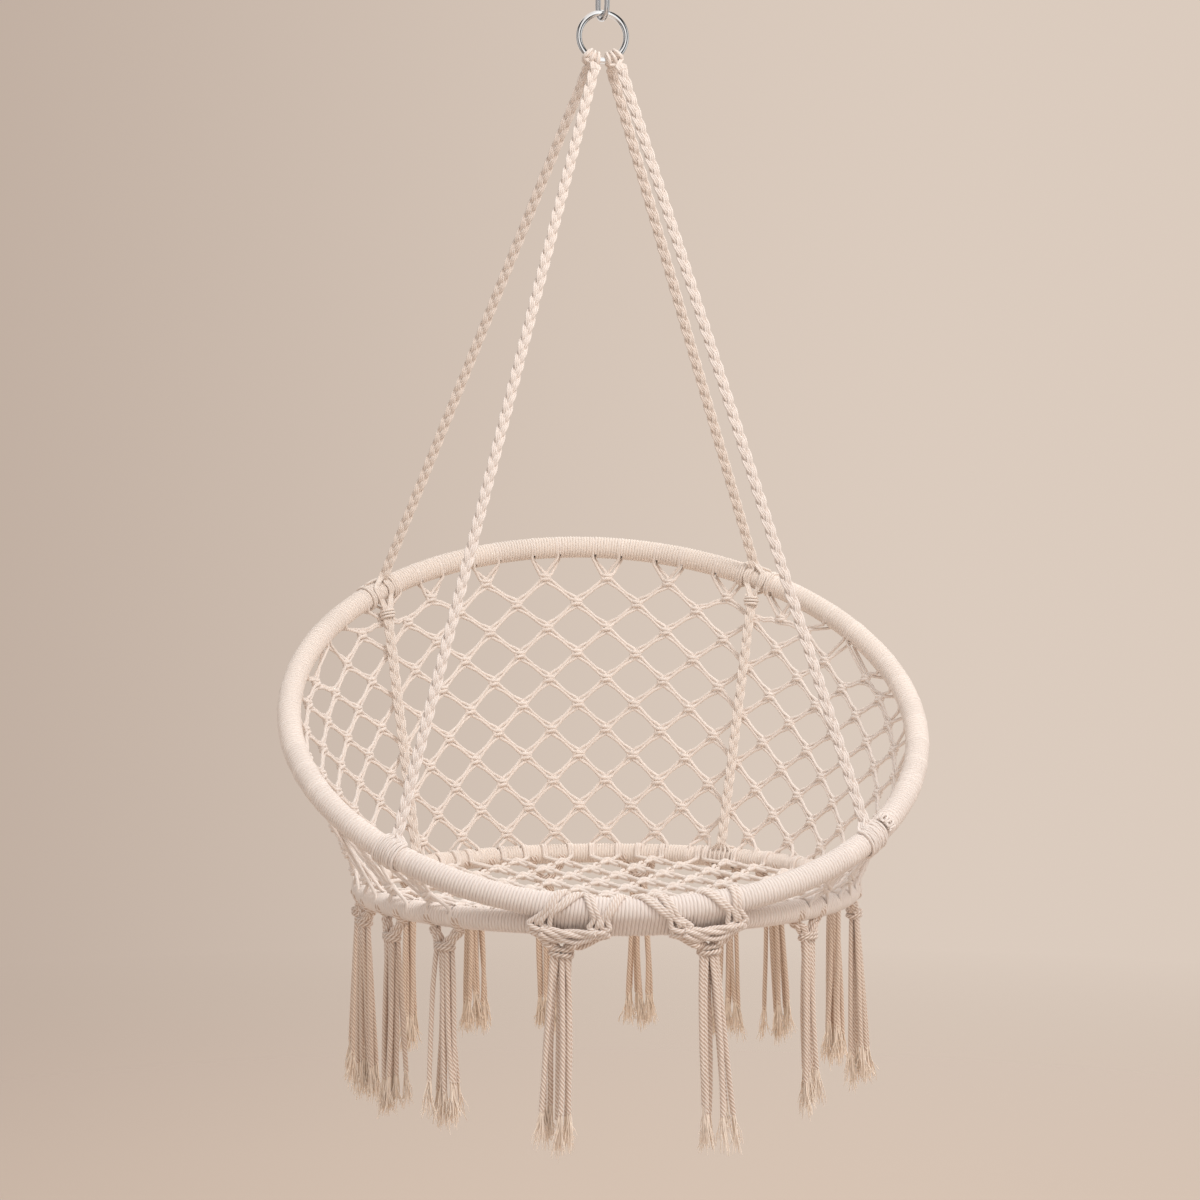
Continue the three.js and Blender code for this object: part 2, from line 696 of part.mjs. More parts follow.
function leastSelfGap(path, loops, cordDiameter) {
  const perLoop = TIE_STEPS * 4;
  const samples = path.getPoints(loops * perLoop);
  const skip = perLoop / 2;
  let least = Infinity;
  for (let i = 0; i < samples.length; i += 1) {
    for (let j = i + skip; j < samples.length; j += 1) {
      least = Math.min(least, samples[i].distanceTo(samples[j]));
    }
  }
  return least - cordDiameter;
}

function buildTie(name, pointAt, angle, ringSize, wrapRadius, loops) {
  const path = new TieWinding(pointAt, angle, ringSize, wrapRadius, loops);
  const winding = sweep(roundSection(TIE_CORD_DIAMETER / 2, TIE_SIDES), path, loops * TIE_STEPS);
  addPiece(seatCentre, name, winding, cotton);
  console.log(`${name}: least gap ${leastSelfGap(path, loops, TIE_CORD_DIAMETER).toFixed(2)} mm`);
  return winding;
}

// How far along an axis a round end must stop so that it rests on the points beside the axis
function restReach(points, from, way, radius) {
  const near = points.map((point) => point.clone().sub(from))
    .map((point) => ({ along: point.dot(way), point }))
    .filter(({ along, point }) => point.addScaledVector(way, -along).length() < radius);
  return Math.max(...near.map(({ along }) => along)) + CLEARANCE;
}

function cornersOf(geometry) {
  const place = geometry.attributes.position;
  return Array.from({ length: place.count }, (_, i) => new THREE.Vector3().fromBufferAttribute(place, i));
}

// Where each rope ties on: its angle on the hoop from the back, and which way it leaves the ring
const ROPES = {
  front_left: { angle: THREE.MathUtils.degToRad(-136), left: true, front: true },
  front_right: { angle: THREE.MathUtils.degToRad(133.2), left: false, front: true },
  back_left: { angle: THREE.MathUtils.degToRad(-45), left: true, front: false },
  back_right: { angle: THREE.MathUtils.degToRad(38.5), left: false, front: false },
};
const LOWER_ROPES = {
  left: { head: ROPES.back_left.angle, foot: -8 * NET_COLUMN_ANGLE },
  right: { head: ROPES.back_right.angle, foot: 6 * NET_COLUMN_ANGLE },
};

// Middle and corners of the end of a rope loop's leg, from the seat ring's centre
function loopFoot(left, front) {
  const middle = left ? -ROPE_LOOP_ANGLE : ROPE_LOOP_ANGLE;
  const facing = front ? -1 : 1;
  const at = (angle, reach) => new THREE.Vector3(
    -HANG_LEFT + (ringRadius + ROPE_LOOP_LEG) * Math.sin(angle),
    HANG_FORWARD + facing * reach,
    HANG_DROP - (ringRadius + ROPE_LOOP_LEG) * Math.cos(angle),
  );
  const corners = [];
  for (let i = 0; i <= ROPE_LOOP_STEPS; i += 1) {
    const angle = middle + ROPE_LOOP_HALF_SPAN * ((2 * i) / ROPE_LOOP_STEPS - 1);
    corners.push(at(angle, loopInner), at(angle, loopFootEnd));
  }
  return { centre: at(middle, (loopInner + loopFootEnd) / 2), corners };
}

function straightRope(from, to, diameter) {
  return sweep(roundSection(diameter / 2, ROPE_SIDES), new THREE.LineCurve3(from, to), ROPE_STEPS);
}

function buildRopes() {
  Object.entries(ROPES).forEach(([name, { angle, left, front }]) => {
    const winding = buildTie(
      `tie_${name}`, hoopPoint, angle, hoopRadius, hoopWrapRadius, HOOP_TIE_LOOPS,
    );
    const foot = loopFoot(left, front);
    const target = hoopPoint(angle);
    const way = target.clone().sub(foot.centre).normalize();
    const rise = restReach(foot.corners, foot.centre, way, ROPE_DIAMETER / 2);
    const top = foot.centre.clone().addScaledVector(way, rise);
    const back = way.clone().negate();
    const reach = restReach(cornersOf(winding), target, back, ROPE_DIAMETER / 2 + TIE_CORD_DIAMETER);
    const end = target.clone().addScaledVector(back, reach);
    addPiece(seatCentre, `rope_${name}`, straightRope(top, end, ROPE_DIAMETER), cotton);
  });
}

// Lower ropes run down inside the back net from the hoop to the seat ring
function buildLowerRopes() {
  Object.entries(LOWER_ROPES).forEach(([name, { head, foot }]) => {
    buildTie(`seat_tie_${name}`, seatPoint, foot, seatRadius, seatWrapRadius, SEAT_TIE_LOOPS);
    const from = seatPoint(foot);
    const to = hoopPoint(head);
    const up = to.clone().sub(from).normalize();
    const length = to.distanceTo(from);
    const across = new THREE.Vector3(Math.cos(foot), -Math.sin(foot), 0);
    const inward = up.clone().cross(across).normalize();
    inward.multiplyScalar(-Math.sign(inward.dot(from)) * LOWER_ROPE_INSET);
    const near = (reach, radius) => Math.sqrt(reach ** 2 - (LOWER_ROPE_INSET - radius) ** 2) + 2 * CLEARANCE;
    const hoopTie = tieRadius(hoopWrapRadius);
    const seatTie = tieRadius(seatWrapRadius);
    const knotTop = length - near(hoopTie, GATHER_KNOT_DIAMETER / 2);
    const knotFoot = knotTop - GATHER_KNOT_HEIGHT;
    const at = (height) => from.clone().addScaledVector(up, height).add(inward);
    const ropeHead = at(knotFoot - CLEARANCE);
    const ropeFoot = at(near(seatTie, LOWER_ROPE_DIAMETER / 2));
    addPiece(seatCentre, `lower_rope_${name}`, straightRope(ropeFoot, ropeHead, LOWER_ROPE_DIAMETER), cotton);
    addPiece(seatCentre, `gather_knot_${name}`, gatherKnot(at(knotFoot), up), cotton);
  });
}

// Rope loop: one bundle folded over the ring's wire, its two legs swelling into the ropes
function loopSection() {
  const outline = new THREE.Shape();
  const arc = (radius, sign) => {
    for (let i = 0; i <= ROPE_LOOP_ARC_POINTS; i += 1) {
      const angle = sign * Math.PI * (i / ROPE_LOOP_ARC_POINTS - 0.5);
      outline.lineTo(-radius * Math.cos(angle), radius * Math.sin(angle));
    }
  };
  outline.moveTo(ROPE_LOOP_LEG, -loopInner);
  outline.lineTo(ROPE_LOOP_LEG, -loopFootEnd);
  arc(loopOuter, 1);
  outline.lineTo(ROPE_LOOP_LEG, loopFootEnd);
  outline.lineTo(ROPE_LOOP_LEG, loopInner);
  arc(loopInner, -1);
  return outline;
}

function buildHardware() {
  const ring = new THREE.TorusGeometry(ringRadius, RING_WIRE_DIAMETER / 2, WIRE_SIDES, RING_STEPS);
  ring.rotateX(Math.PI / 2);
  addPiece(steelwork, 'hanging_ring', ring, steel).position.z = ringCentreZ;
  const link = addPiece(steelwork, 'hanging_link', ovalLink(), steel);
  link.rotation.z = Math.PI / 2 + LINK_TURN;
  [['left', -ROPE_LOOP_ANGLE], ['right', ROPE_LOOP_ANGLE]].forEach(([side, angle]) => {
    const arc = new RingArc(ringRadius, angle - ROPE_LOOP_HALF_SPAN, angle + ROPE_LOOP_HALF_SPAN);
    const loop = sweep(loopSection(), arc, ROPE_LOOP_STEPS);
    loop.rotateX(-Math.PI / 2);
    addPiece(steelwork, `rope_loop_${side}`, loop, cotton).position.z = ringCentreZ;
  });
}

// Oval link: a torus parted across its middle, its halves joined by straight arms
function ovalLink() {
  const bend = (LINK_INNER_WIDTH + LINK_WIRE_DIAMETER) / 2;
  const link = new THREE.TorusGeometry(bend, LINK_WIRE_DIAMETER / 2, WIRE_SIDES, LINK_STEPS);
  link.rotateZ(Math.PI / LINK_STEPS);
  const innerReach = (LINK_INNER_WIDTH / 2) * Math.cos(Math.PI / LINK_STEPS);
  const shift = LINK_INNER_LENGTH / 2 - innerReach;
  const place = link.attributes.position;
  for (let i = 0; i < place.count; i += 1) {
    place.setY(i, place.getY(i) + Math.sign(place.getY(i)) * shift - LINK_INNER_LENGTH / 2);
  }
  link.rotateX(Math.PI / 2);
  return link;
}

// A few tight turns round the rope's strands just below the hoop, as a barrel
function gatherKnot(foot, up) {
  const radius = GATHER_KNOT_DIAMETER / 2;
  const profile = [
    new THREE.Vector2(0, 0),
    new THREE.Vector2(radius - GATHER_KNOT_EDGE, 0),
    new THREE.Vector2(radius, GATHER_KNOT_EDGE),
    new THREE.Vector2(radius, GATHER_KNOT_HEIGHT - GATHER_KNOT_EDGE),
    new THREE.Vector2(radius - GATHER_KNOT_EDGE, GATHER_KNOT_HEIGHT),
    new THREE.Vector2(0, GATHER_KNOT_HEIGHT),
  ];
  const geometry = new THREE.LatheGeometry(profile, ROPE_SIDES);
  const turn = new THREE.Quaternion().setFromUnitVectors(new THREE.Vector3(0, 1, 0), up);
  geometry.applyMatrix4(new THREE.Matrix4().makeRotationFromQuaternion(turn).setPosition(foot));
  return geometry;
}

// Manifold solids, for joining a tassel's knot to its skirt
function toSolid(geometry) {
  const bare = geometry.clone();
  bare.deleteAttribute('normal');
  bare.deleteAttribute('uv');
  const merged = mergeVertices(bare);
  return new wasm.Manifold(new wasm.Mesh({
    numProp: 3,
    vertProperties: new Float32Array(merged.attributes.position.array),
    triVerts: new Uint32Array(merged.index.array),
  }));
}

function fromSolid(solid) {
  const mesh = solid.getMesh();
  const geometry = new THREE.BufferGeometry();
  geometry.setAttribute('position', new THREE.BufferAttribute(mesh.vertProperties, 3));
  geometry.setIndex(new THREE.BufferAttribute(mesh.triVerts, 1));
  return geometry;
}

// Hanging cords of one tassel as a fluted bundle that widens towards its foot
function tasselSkirt(length) {
  const mesh = new StrapMesh();
  const levels = [
    { drop: 0, radius: TASSEL_TOP_DIAMETER / 2 },
    { drop: length * TASSEL_WAIST_SHARE, radius: (TASSEL_TOP_DIAMETER + TASSEL_FOOT_DIAMETER) / 4 },
    { drop: length, radius: TASSEL_FOOT_DIAMETER / 2 },
  ];
  const rings = levels.map(({ drop, radius }) => Array.from({ length: 2 * TASSEL_CORDS }, (_, i) => {
    const angle = (Math.PI * i) / TASSEL_CORDS;
    const reach = i % 2 ? radius - TASSEL_FLUTE_DEPTH : radius;
    return mesh.add(new THREE.Vector3(reach * Math.cos(angle), reach * Math.sin(angle), -drop));
  }));
  mesh.tube(rings[1], rings[0]);
  mesh.tube(rings[2], rings[1]);
  mesh.fan(rings[0], new THREE.Vector3(0, 0, 0));
  mesh.fan([...rings[2]].reverse(), new THREE.Vector3(0, 0, -length));
  return mesh.geometry();
}

// A tassel hangs from two straps that come off the seat ring and meet in a knot
function buildTassel(name, angleDeg) {
  const angle = THREE.MathUtils.degToRad(angleDeg);
  const down = seatWrapRadius + TASSEL_KNOT_DROP;
  const yoke = new StrapMesh();
  const centre = seatPoint(angle).setZ(-down);
  const knot = new Knot(
    yoke, centre, tangentAt(seatPoint, angle), UP, TASSEL_KNOT_HALF_SIZE, TASSEL_KNOT_HALF_SIZE,
  );
  [['upRight', 1], ['upLeft', -1]].forEach(([side, sign]) => {
    strapToTube(knot, side, seatPoint, angle + (sign * TASSEL_YOKE_SPREAD) / seatRadius, seatWrapRadius);
  });
  knot.closeFreePorts();
  const skirt = tasselSkirt(TASSEL_FOOT_DROP - down);
  skirt.translate(centre.x, centre.y, centre.z);
  addPiece(seatCentre, name, fromSolid(toSolid(yoke.geometry()).add(toSolid(skirt))), cotton);
}

// The flat lower face of the front lashing at one angle of the hoop
function lashedFace(angle) {
  const { hoop, seat, side } = lashedStation(angle);
  const between = hoop.clone().sub(seat).normalize();
  const normal = between.clone().cross(side).normalize();
  const from = seat.clone().addScaledVector(normal, seatWrapRadius);
  const to = hoop.clone().addScaledVector(normal, hoopWrapRadius);
  return { hoop, seat, side, between, normal, from, to, up: to.clone().sub(from).normalize() };
}

// A leg rises from a knot, bending over the hoop's front as it leans to one side
function raiseLeg(knot, port, angle, sign) {
  const reach = (hoopWrapRadius + CLEARANCE) / Math.cos(FRONT_LEG_TURN / 2) + NET_THICKNESS / 2;
  const rings = [];
  let before = portCorners(knot, port);
  for (let i = 0; i <= FRONT_LEG_BENDS; i += 1) {
    const lean = (sign * FRONT_LEG_SPREAD * (i + 1)) / (FRONT_LEG_BENDS + 1) / hoopRadius;
    const face = lashedFace(angle + lean);
    const turn = FRONT_LEG_TURN * i;
    const away = face.normal.clone().multiplyScalar(Math.cos(turn))
      .addScaledVector(face.between, Math.sin(turn));
    const centre = face.hoop.clone().addScaledVector(away, reach);
    before = nextRing(before, centre, face.side, away, NET_END_HALF_WIDTH);
    rings.push(before);
  }
  strapThrough(knot, port, rings);
}

// Front knot work: two knots on the lashing with legs over the hoop, and a gather knot below
function buildFrontMacrame(side, anglesDeg) {
  const mesh = new StrapMesh();
  const [leftAngle, rightAngle, gatherAngle] = anglesDeg.map((angle) => THREE.MathUtils.degToRad(angle));
  const makeKnot = (angle) => {
    const face = lashedFace(angle);
    const centre = face.from.clone().lerp(face.to, FRONT_KNOT_SHARE);
    centre.addScaledVector(face.normal, NET_THICKNESS / 2 + CLEARANCE);
    const knot = new Knot(mesh, centre, face.side, face.up, KNOT_HALF_WIDTH, KNOT_HALF_HEIGHT);
    raiseLeg(knot, 'upRight', angle, 1);
    raiseLeg(knot, 'upLeft', angle, -1);
    return knot;
  };
  const left = makeKnot(leftAngle);
  const right = makeKnot(rightAngle);
  const face = lashedFace(gatherAngle);
  const outward = UP.clone().cross(face.side);
  const foot = face.seat.clone().addScaledVector(outward, FRONT_GATHER_REACH).setZ(-FRONT_GATHER_DROP);
  const gather = new Knot(mesh, foot, face.side, UP, TASSEL_KNOT_HALF_SIZE, KNOT_HALF_HEIGHT);
  strapBetween(left, 'downRight', gather, 'upLeft');
  strapBetween(right, 'downLeft', gather, 'upRight');
  [left, right, gather].forEach((knot) => knot.closeFreePorts());
  addPiece(seatCentre, `front_macrame_${side}`, mesh.geometry(), cotton);

  const top = foot.z - KNOT_HALF_HEIGHT - CLEARANCE;
  const skirt = tasselSkirt(FRONT_TASSEL_DROP + top);
  skirt.translate(foot.x, foot.y, top);
  addPiece(seatCentre, `tassel_front_${side}`, skirt, cotton);
}

buildTubes();
buildWraps();
buildFrontLashing();
buildBackNet();
buildSeatNet();
buildHardware();
buildRopes();
buildLowerRopes();
Object.entries(FRONT_KNOTS_DEG).forEach(([side, angles]) => buildFrontMacrame(side, angles));
TASSEL_ANGLES_DEG.forEach((angle, i) => buildTassel(`tassel_${String(i + 1).padStart(2, '0')}`, angle));

export default chair;
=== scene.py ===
"""Looks of a round hanging chair of knotted cotton cord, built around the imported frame.

Lengths are metres. Angles on the hoop and on the seat ring run from the back, 0, through +X.
"""

import logging
import math
from collections.abc import Sequence
from dataclasses import dataclass, field
from enum import Enum

import bpy
import numpy as np
from mathutils import Matrix, Vector


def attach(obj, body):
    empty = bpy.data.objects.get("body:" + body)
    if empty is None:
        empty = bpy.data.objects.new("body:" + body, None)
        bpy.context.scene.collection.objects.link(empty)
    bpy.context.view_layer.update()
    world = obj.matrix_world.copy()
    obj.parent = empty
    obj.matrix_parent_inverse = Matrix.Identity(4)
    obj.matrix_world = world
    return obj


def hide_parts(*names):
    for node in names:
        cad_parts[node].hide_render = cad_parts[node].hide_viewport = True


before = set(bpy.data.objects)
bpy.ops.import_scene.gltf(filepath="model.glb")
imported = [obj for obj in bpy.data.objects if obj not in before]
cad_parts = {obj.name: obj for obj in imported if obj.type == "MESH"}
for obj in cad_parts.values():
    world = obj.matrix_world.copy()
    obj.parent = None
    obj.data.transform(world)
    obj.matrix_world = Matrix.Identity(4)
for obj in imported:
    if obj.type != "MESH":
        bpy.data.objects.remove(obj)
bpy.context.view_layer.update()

log = logging.getLogger("hanging_chair")

# The seat ring's and the hanging ring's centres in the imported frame.
SEAT_CENTRE = np.array([0.0017, -0.0197, -1.1292])
RING_CENTRE = np.array([0.0, 0.0, -0.0912])
RIGHT = np.array([1.0, 0.0, 0.0])
BACK = np.array([0.0, 1.0, 0.0])
UP = np.array([0.0, 0.0, 1.0])
FULL_TURN = 2 * math.pi
# The back net's columns are this far apart on both rails; the lashing covers this much of the hoop.
COLUMN_ANGLE = FULL_TURN / 56
LASHED_HALF_ANGLE = math.radians(17)
RING_RADIUS = 0.029
ROPE_CORDS = 9
STRAND_CORDS = 3
# How far a loop's or a tie's cords run on inside the rope that they come from.
CORD_TUCK = 0.006
# Cotton goes from its own colour at the front to a painted darker, warmer shade at the back between these
# distances from the middle.
REAR_REACH = 0.34
# Below this height cords belong to the tassels; only there do the tassels' cords get their painted rear
# shade.
TASSEL_TOP = -1.165


class Body(Enum):
    """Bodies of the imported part."""

    LINK = "link"
    RING = "ring"
    CHAIR = "chair"


class Slot(Enum):
    """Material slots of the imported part's record."""

    STEEL = "polished_steel"
    TUBE = "tube_steel"
    WRAP = "wrap_cotton"
    NET = "net_cotton"
    ROPE = "rope_cotton"
    TASSEL = "tassel_cotton"


def unit(vector: np.ndarray) -> np.ndarray:
    """Returns the vector at length 1."""
    return vector / np.linalg.norm(vector)


def across_to(vector: np.ndarray, axis: np.ndarray) -> np.ndarray:
    """Returns the unit part of a vector that stands square to a unit axis."""
    return unit(vector - axis * float(vector @ axis))


def smooth(points: Sequence[np.ndarray], step: float) -> np.ndarray:
    """Runs a smooth curve through points.

    Args:
        points: The points to pass through, in order.
        step: Longest distance between the points that come back.

    Returns:
        The curve's points, as rows.
    """
    given = np.asarray(points, float)
    spans = np.linalg.norm(np.diff(given, axis=0), axis=1)
    tangents = np.zeros_like(given)
    for i in range(len(given)):
        before, after = max(i - 1, 0), min(i + 1, len(given) - 1)
        near = min(spans[max(i - 1, 0)], spans[min(i, len(spans) - 1)])
        tangents[i] = unit(given[after] - given[before]) * near
    rows = []
    for i, span in enumerate(spans):
        count = max(2, math.ceil(span / step))
        t = (np.arange(count) / count)[:, None]
        rows.append(
            (2 * t**3 - 3 * t**2 + 1) * given[i]
            + (t**3 - 2 * t**2 + t) * tangents[i]
            + (3 * t**2 - 2 * t**3) * given[i + 1]
            + (t**3 - t**2) * tangents[i + 1]
        )
    rows.append(given[-1:])
    return np.concatenate(rows)


class Wire:
    """One output in a node tree; sums on it add Math nodes."""

    def __init__(self, graph: "Graph", node: bpy.types.Node, key: int | str = 0) -> None:
        """Takes the named or numbered output that the node's settings leave in use.

        Args:
            graph: The tree.
            node: The node.
            key: The output's name or number.
        """
        self.graph = graph
        self.node = node
        shown = [s for s in node.outputs if s.enabled]
        self.socket = shown[key] if isinstance(key, int) else next(s for s in shown if s.name == key)

    def other(self, key: int | str) -> "Wire":
        """Returns another output of the same node."""
        return Wire(self.graph, self.node, key)

    def _math(self, operation: str, *terms: "Wire | float") -> "Wire":
        """Returns one Math node's result."""
        return self.graph.add("ShaderNodeMath", dict(enumerate(terms)), operation=operation)

    def __add__(self, other: "Wire | float") -> "Wire":
        """Adds."""
        return self._math("ADD", self, other)

    def __radd__(self, other: float) -> "Wire":
        """Adds to a number."""
        return self._math("ADD", other, self)

    def __sub__(self, other: "Wire | float") -> "Wire":
        """Takes away."""
        return self._math("SUBTRACT", self, other)

    def __rsub__(self, other: float) -> "Wire":
        """Takes away from a number."""
        return self._math("SUBTRACT", other, self)

    def __mul__(self, other: "Wire | float") -> "Wire":
        """Multiplies."""
        return self._math("MULTIPLY", self, other)

    def __rmul__(self, other: float) -> "Wire":
        """Multiplies a number."""
        return self._math("MULTIPLY", other, self)

    def __truediv__(self, other: "Wire | float") -> "Wire":
        """Divides."""
        return self._math("DIVIDE", self, other)

    def __rtruediv__(self, other: float) -> "Wire":
        """Divides a number."""
        return self._math("DIVIDE", other, self)

    def __pow__(self, other: float) -> "Wire":
        """Raises to a power."""
        return self._math("POWER", self, other)

    def cosine(self) -> "Wire":
        """Returns the cosine."""
        return self._math("COSINE", self)

    def sine(self) -> "Wire":
        """Returns the sine."""
        return self._math("SINE", self)

    def floor(self) -> "Wire":
        """Returns the whole part."""
        return self._math("FLOOR", self)

    def at_most(self, limit: float) -> "Wire":
        """Returns the value, held at or below a limit."""
        return self._math("MINIMUM", self, limit)

    def turn_from(self, across: "Wire") -> "Wire":
        """Returns the angle whose sine and cosine are this value and another."""
        return self._math("ARCTAN2", self, across)


class Graph:
    """A node tree written as calls, for shapes and materials alike."""

    def __init__(self, tree: bpy.types.NodeTree) -> None:
        """Wraps a tree."""
        self.tree = tree

    def add(self, kind: str, values: dict | None = None, **settings: object) -> Wire | None:
        """Adds one node.

        Args:
            kind: The node's type.
            values: Values or wires for its inputs, by name or number.
            settings: Its own settings, set first; "stops" fills a colour ramp.

        Returns:
            The node's first output, or None for a node without outputs.
        """
        node = self.tree.nodes.new(kind)
        for name, value in settings.items():
            if name == "stops":
                self._fill_ramp(node, value)
            else:
                setattr(node, name, value)
        for key, value in (values or {}).items():
            shown = [s for s in node.inputs if s.enabled]
            socket = shown[key] if isinstance(key, int) else next(s for s in shown if s.name == key)
            if isinstance(value, Wire):
                self.tree.links.new(value.socket, socket)
            else:
                socket.default_value = value
        return Wire(self, node) if node.outputs else None

    def _fill_ramp(self, node: bpy.types.Node, stops: Sequence[tuple]) -> None:
        """Sets a colour ramp's stops from pairs of place and colour.

        Args:
            node: The ramp's node.
            stops: The pairs, from left to right.
        """
        elements = node.color_ramp.elements
        for (place, colour), element in zip(stops, [elements[0], elements[1]]):
            element.position, element.color = place, (*colour, 1.0)
        for place, colour in stops[2:]:
            elements.new(place).color = (*colour, 1.0)

    def vector(self, operation: str, left: "Wire | tuple", right: "Wire | tuple | float") -> Wire:
        """Returns a Vector Math node's result; for SCALE the second value is the factor."""
        second = "Scale" if operation == "SCALE" else 1
        return self.add("ShaderNodeVectorMath", {0: left, second: right}, operation=operation)

    def blend(
        self, factor: "Wire | float", low: "Wire | tuple", high: "Wire | tuple", way: str = "MIX"
    ) -> Wire:
        """Returns two colours mixed.

        Args:
            factor: The share of the second colour.
            low: The first colour, as a wire or three numbers.
            high: The second colour.
            way: The blend type.
        """
        ends = [(*end, 1.0) if isinstance(end, tuple) else end for end in (low, high)]
        values = {0: factor, "A": ends[0], "B": ends[1]}
        return self.add("ShaderNodeMix", values, data_type="RGBA", blend_type=way)

    def noise(self, place: Wire, scale: float, detail: float = 2.0) -> Wire:
        """Returns a noise texture's value."""
        return self.add("ShaderNodeTexNoise", {"Vector": place, "Scale": scale, "Detail": detail})

    def parts(self, vector: Wire) -> tuple[Wire, Wire, Wire]:
        """Returns a vector's three numbers."""
        split = self.add("ShaderNodeSeparateXYZ", {"Vector": vector})
        return split, split.other("Y"), split.other("Z")

    def span(self, value: Wire, start: float, end: float, **settings: object) -> Wire:
        """Returns how far a value is on its way between two others, from 0 to 1."""
        values = {"Value": value, "From Min": start, "From Max": end}
        return self.add("ShaderNodeMapRange", values, **settings)

    def named(self, name: str, kind: str = "FLOAT") -> Wire:
        """Returns a named attribute of the geometry."""
        return self.add("GeometryNodeInputNamedAttribute", {"Name": name}, data_type=kind)

    def store(self, geometry: Wire, name: str, value: "Wire | float", kind: str = "FLOAT") -> Wire:
        """Keeps a value on the geometry's points under a name."""
        values = {"Geometry": geometry, "Name": name, "Value": value}
        return self.add("GeometryNodeStoreNamedAttribute", values, data_type=kind, domain="POINT")

    def moved(self, geometry: Wire, offset: Wire) -> Wire:
        """Returns the geometry with its points moved."""
        return self.add("GeometryNodeSetPosition", {"Geometry": geometry, "Offset": offset})

    def copies(self, lines: Wire, count: Wire) -> tuple[Wire, Wire]:
        """Returns every line several times over, and each copy's number.

        Args:
            lines: The lines.
            count: How many copies there are of each.
        """
        values = {"Geometry": lines, "Amount": count}
        made = self.add("GeometryNodeDuplicateElements", values, domain="SPLINE")
        return made, made.other("Duplicate Index")

    def resampled(self, lines: Wire, step: Wire) -> Wire:
        """Returns the lines with points at even steps."""
        return self.add("GeometryNodeResampleCurve", {"Curve": lines, "Length": step}, mode="LENGTH")

    def total(self, *vectors: Wire) -> Wire:
        """Returns the sum of vectors.

        Args:
            vectors: The vectors, added in order.
        """
        whole = vectors[0]
        for vector in vectors[1:]:
            whole = self.vector("ADD", whole, vector)
        return whole


class CordTree:
    """A Geometry Nodes tree that sweeps a plied section along lines of cord."""

    name = "swept_cord"
    own_inputs: dict = {}
    inputs = {
        "Sides": ("NodeSocketInt", 6),
        "Plies": ("NodeSocketInt", 3),
        "Ply Depth": ("NodeSocketFloat", 0.0),
        "Twist Rate": ("NodeSocketFloat", 0.0),
        "Marked Plies": ("NodeSocketFloat", 1.0),
        "Finish": ("NodeSocketMaterial", None),
    }

    def __init__(self) -> None:
        """Makes the tree's interface and builds it."""
        tree = bpy.data.node_groups.new(self.name, "GeometryNodeTree")
        self.tree = tree
        self.graph = Graph(tree)
        tree.interface.new_socket(name="Geometry", in_out="INPUT", socket_type="NodeSocketGeometry")
        self.identifiers = {}
        for key, (kind, value) in {**self.own_inputs, **self.inputs}.items():
            socket = tree.interface.new_socket(name=key, in_out="INPUT", socket_type=kind)
            if value is not None:
                socket.default_value = value
            self.identifiers[key] = socket.identifier
        tree.interface.new_socket(name="Geometry", in_out="OUTPUT", socket_type="NodeSocketGeometry")
        self.given = self.graph.add("NodeGroupInput")
        lines = self.graph.add("GeometryNodeMeshToCurve", {"Mesh": self.given.other("Geometry")})
        self._finish(self.route(lines))

    def value(self, name: str) -> Wire:
        """Returns one of the tree's inputs."""
        return self.given.other(name)

    def length(self) -> Wire:
        """Returns each point's distance along its line."""
        return self.graph.add("GeometryNodeSplineParameter").other("Length")

    def route(self, lines: Wire) -> Wire:
        """Returns the cords' centre lines; here they are the lines themselves."""
        return lines

    def _finish(self, lines: Wire) -> None:
        """Sweeps a plied section along the centre lines and gives it its finish.

        Args:
            lines: The centre lines.
        """
        graph = self.graph
        length = self.length()
        lines = graph.store(lines, "along", length)
        tilt = length * self.value("Twist Rate")
        lines = graph.add("GeometryNodeSetCurveTilt", {"Curve": lines, "Tilt": tilt})
        size = {"Resolution": self.value("Sides"), "Radius": 1.0}
        circle = graph.add("GeometryNodeCurvePrimitiveCircle", size, mode="RADIUS")
        turn = graph.add("GeometryNodeSplineParameter").other("Factor") * FULL_TURN
        lobe = 1.0 + self.value("Ply Depth") * (turn * self.value("Plies")).cosine()
        place = graph.vector("SCALE", graph.add("GeometryNodeInputPosition"), lobe)
        section = graph.add("GeometryNodeSetPosition", {"Geometry": circle, "Position": place})
        mark = turn * self.value("Marked Plies")
        around = graph.add("ShaderNodeCombineXYZ", {"X": mark.cosine(), "Y": mark.sine()})
        section = graph.store(section, "around", around, "FLOAT_VECTOR")
        swept = {
            "Curve": lines,
            "Profile Curve": section,
            "Scale": graph.named("cord_radius"),
            "Fill Caps": True,
        }
        cords = graph.add("GeometryNodeCurveToMesh", swept)
        cords = graph.add("GeometryNodeSetShadeSmooth", {"Geometry": cords, "Shade Smooth": True})
        cords = graph.add("GeometryNodeRealizeInstances", {"Geometry": cords})
        dressed = {"Geometry": cords, "Material": self.value("Finish")}
        graph.add("NodeGroupOutput", {"Geometry": graph.add("GeometryNodeSetMaterial", dressed)})


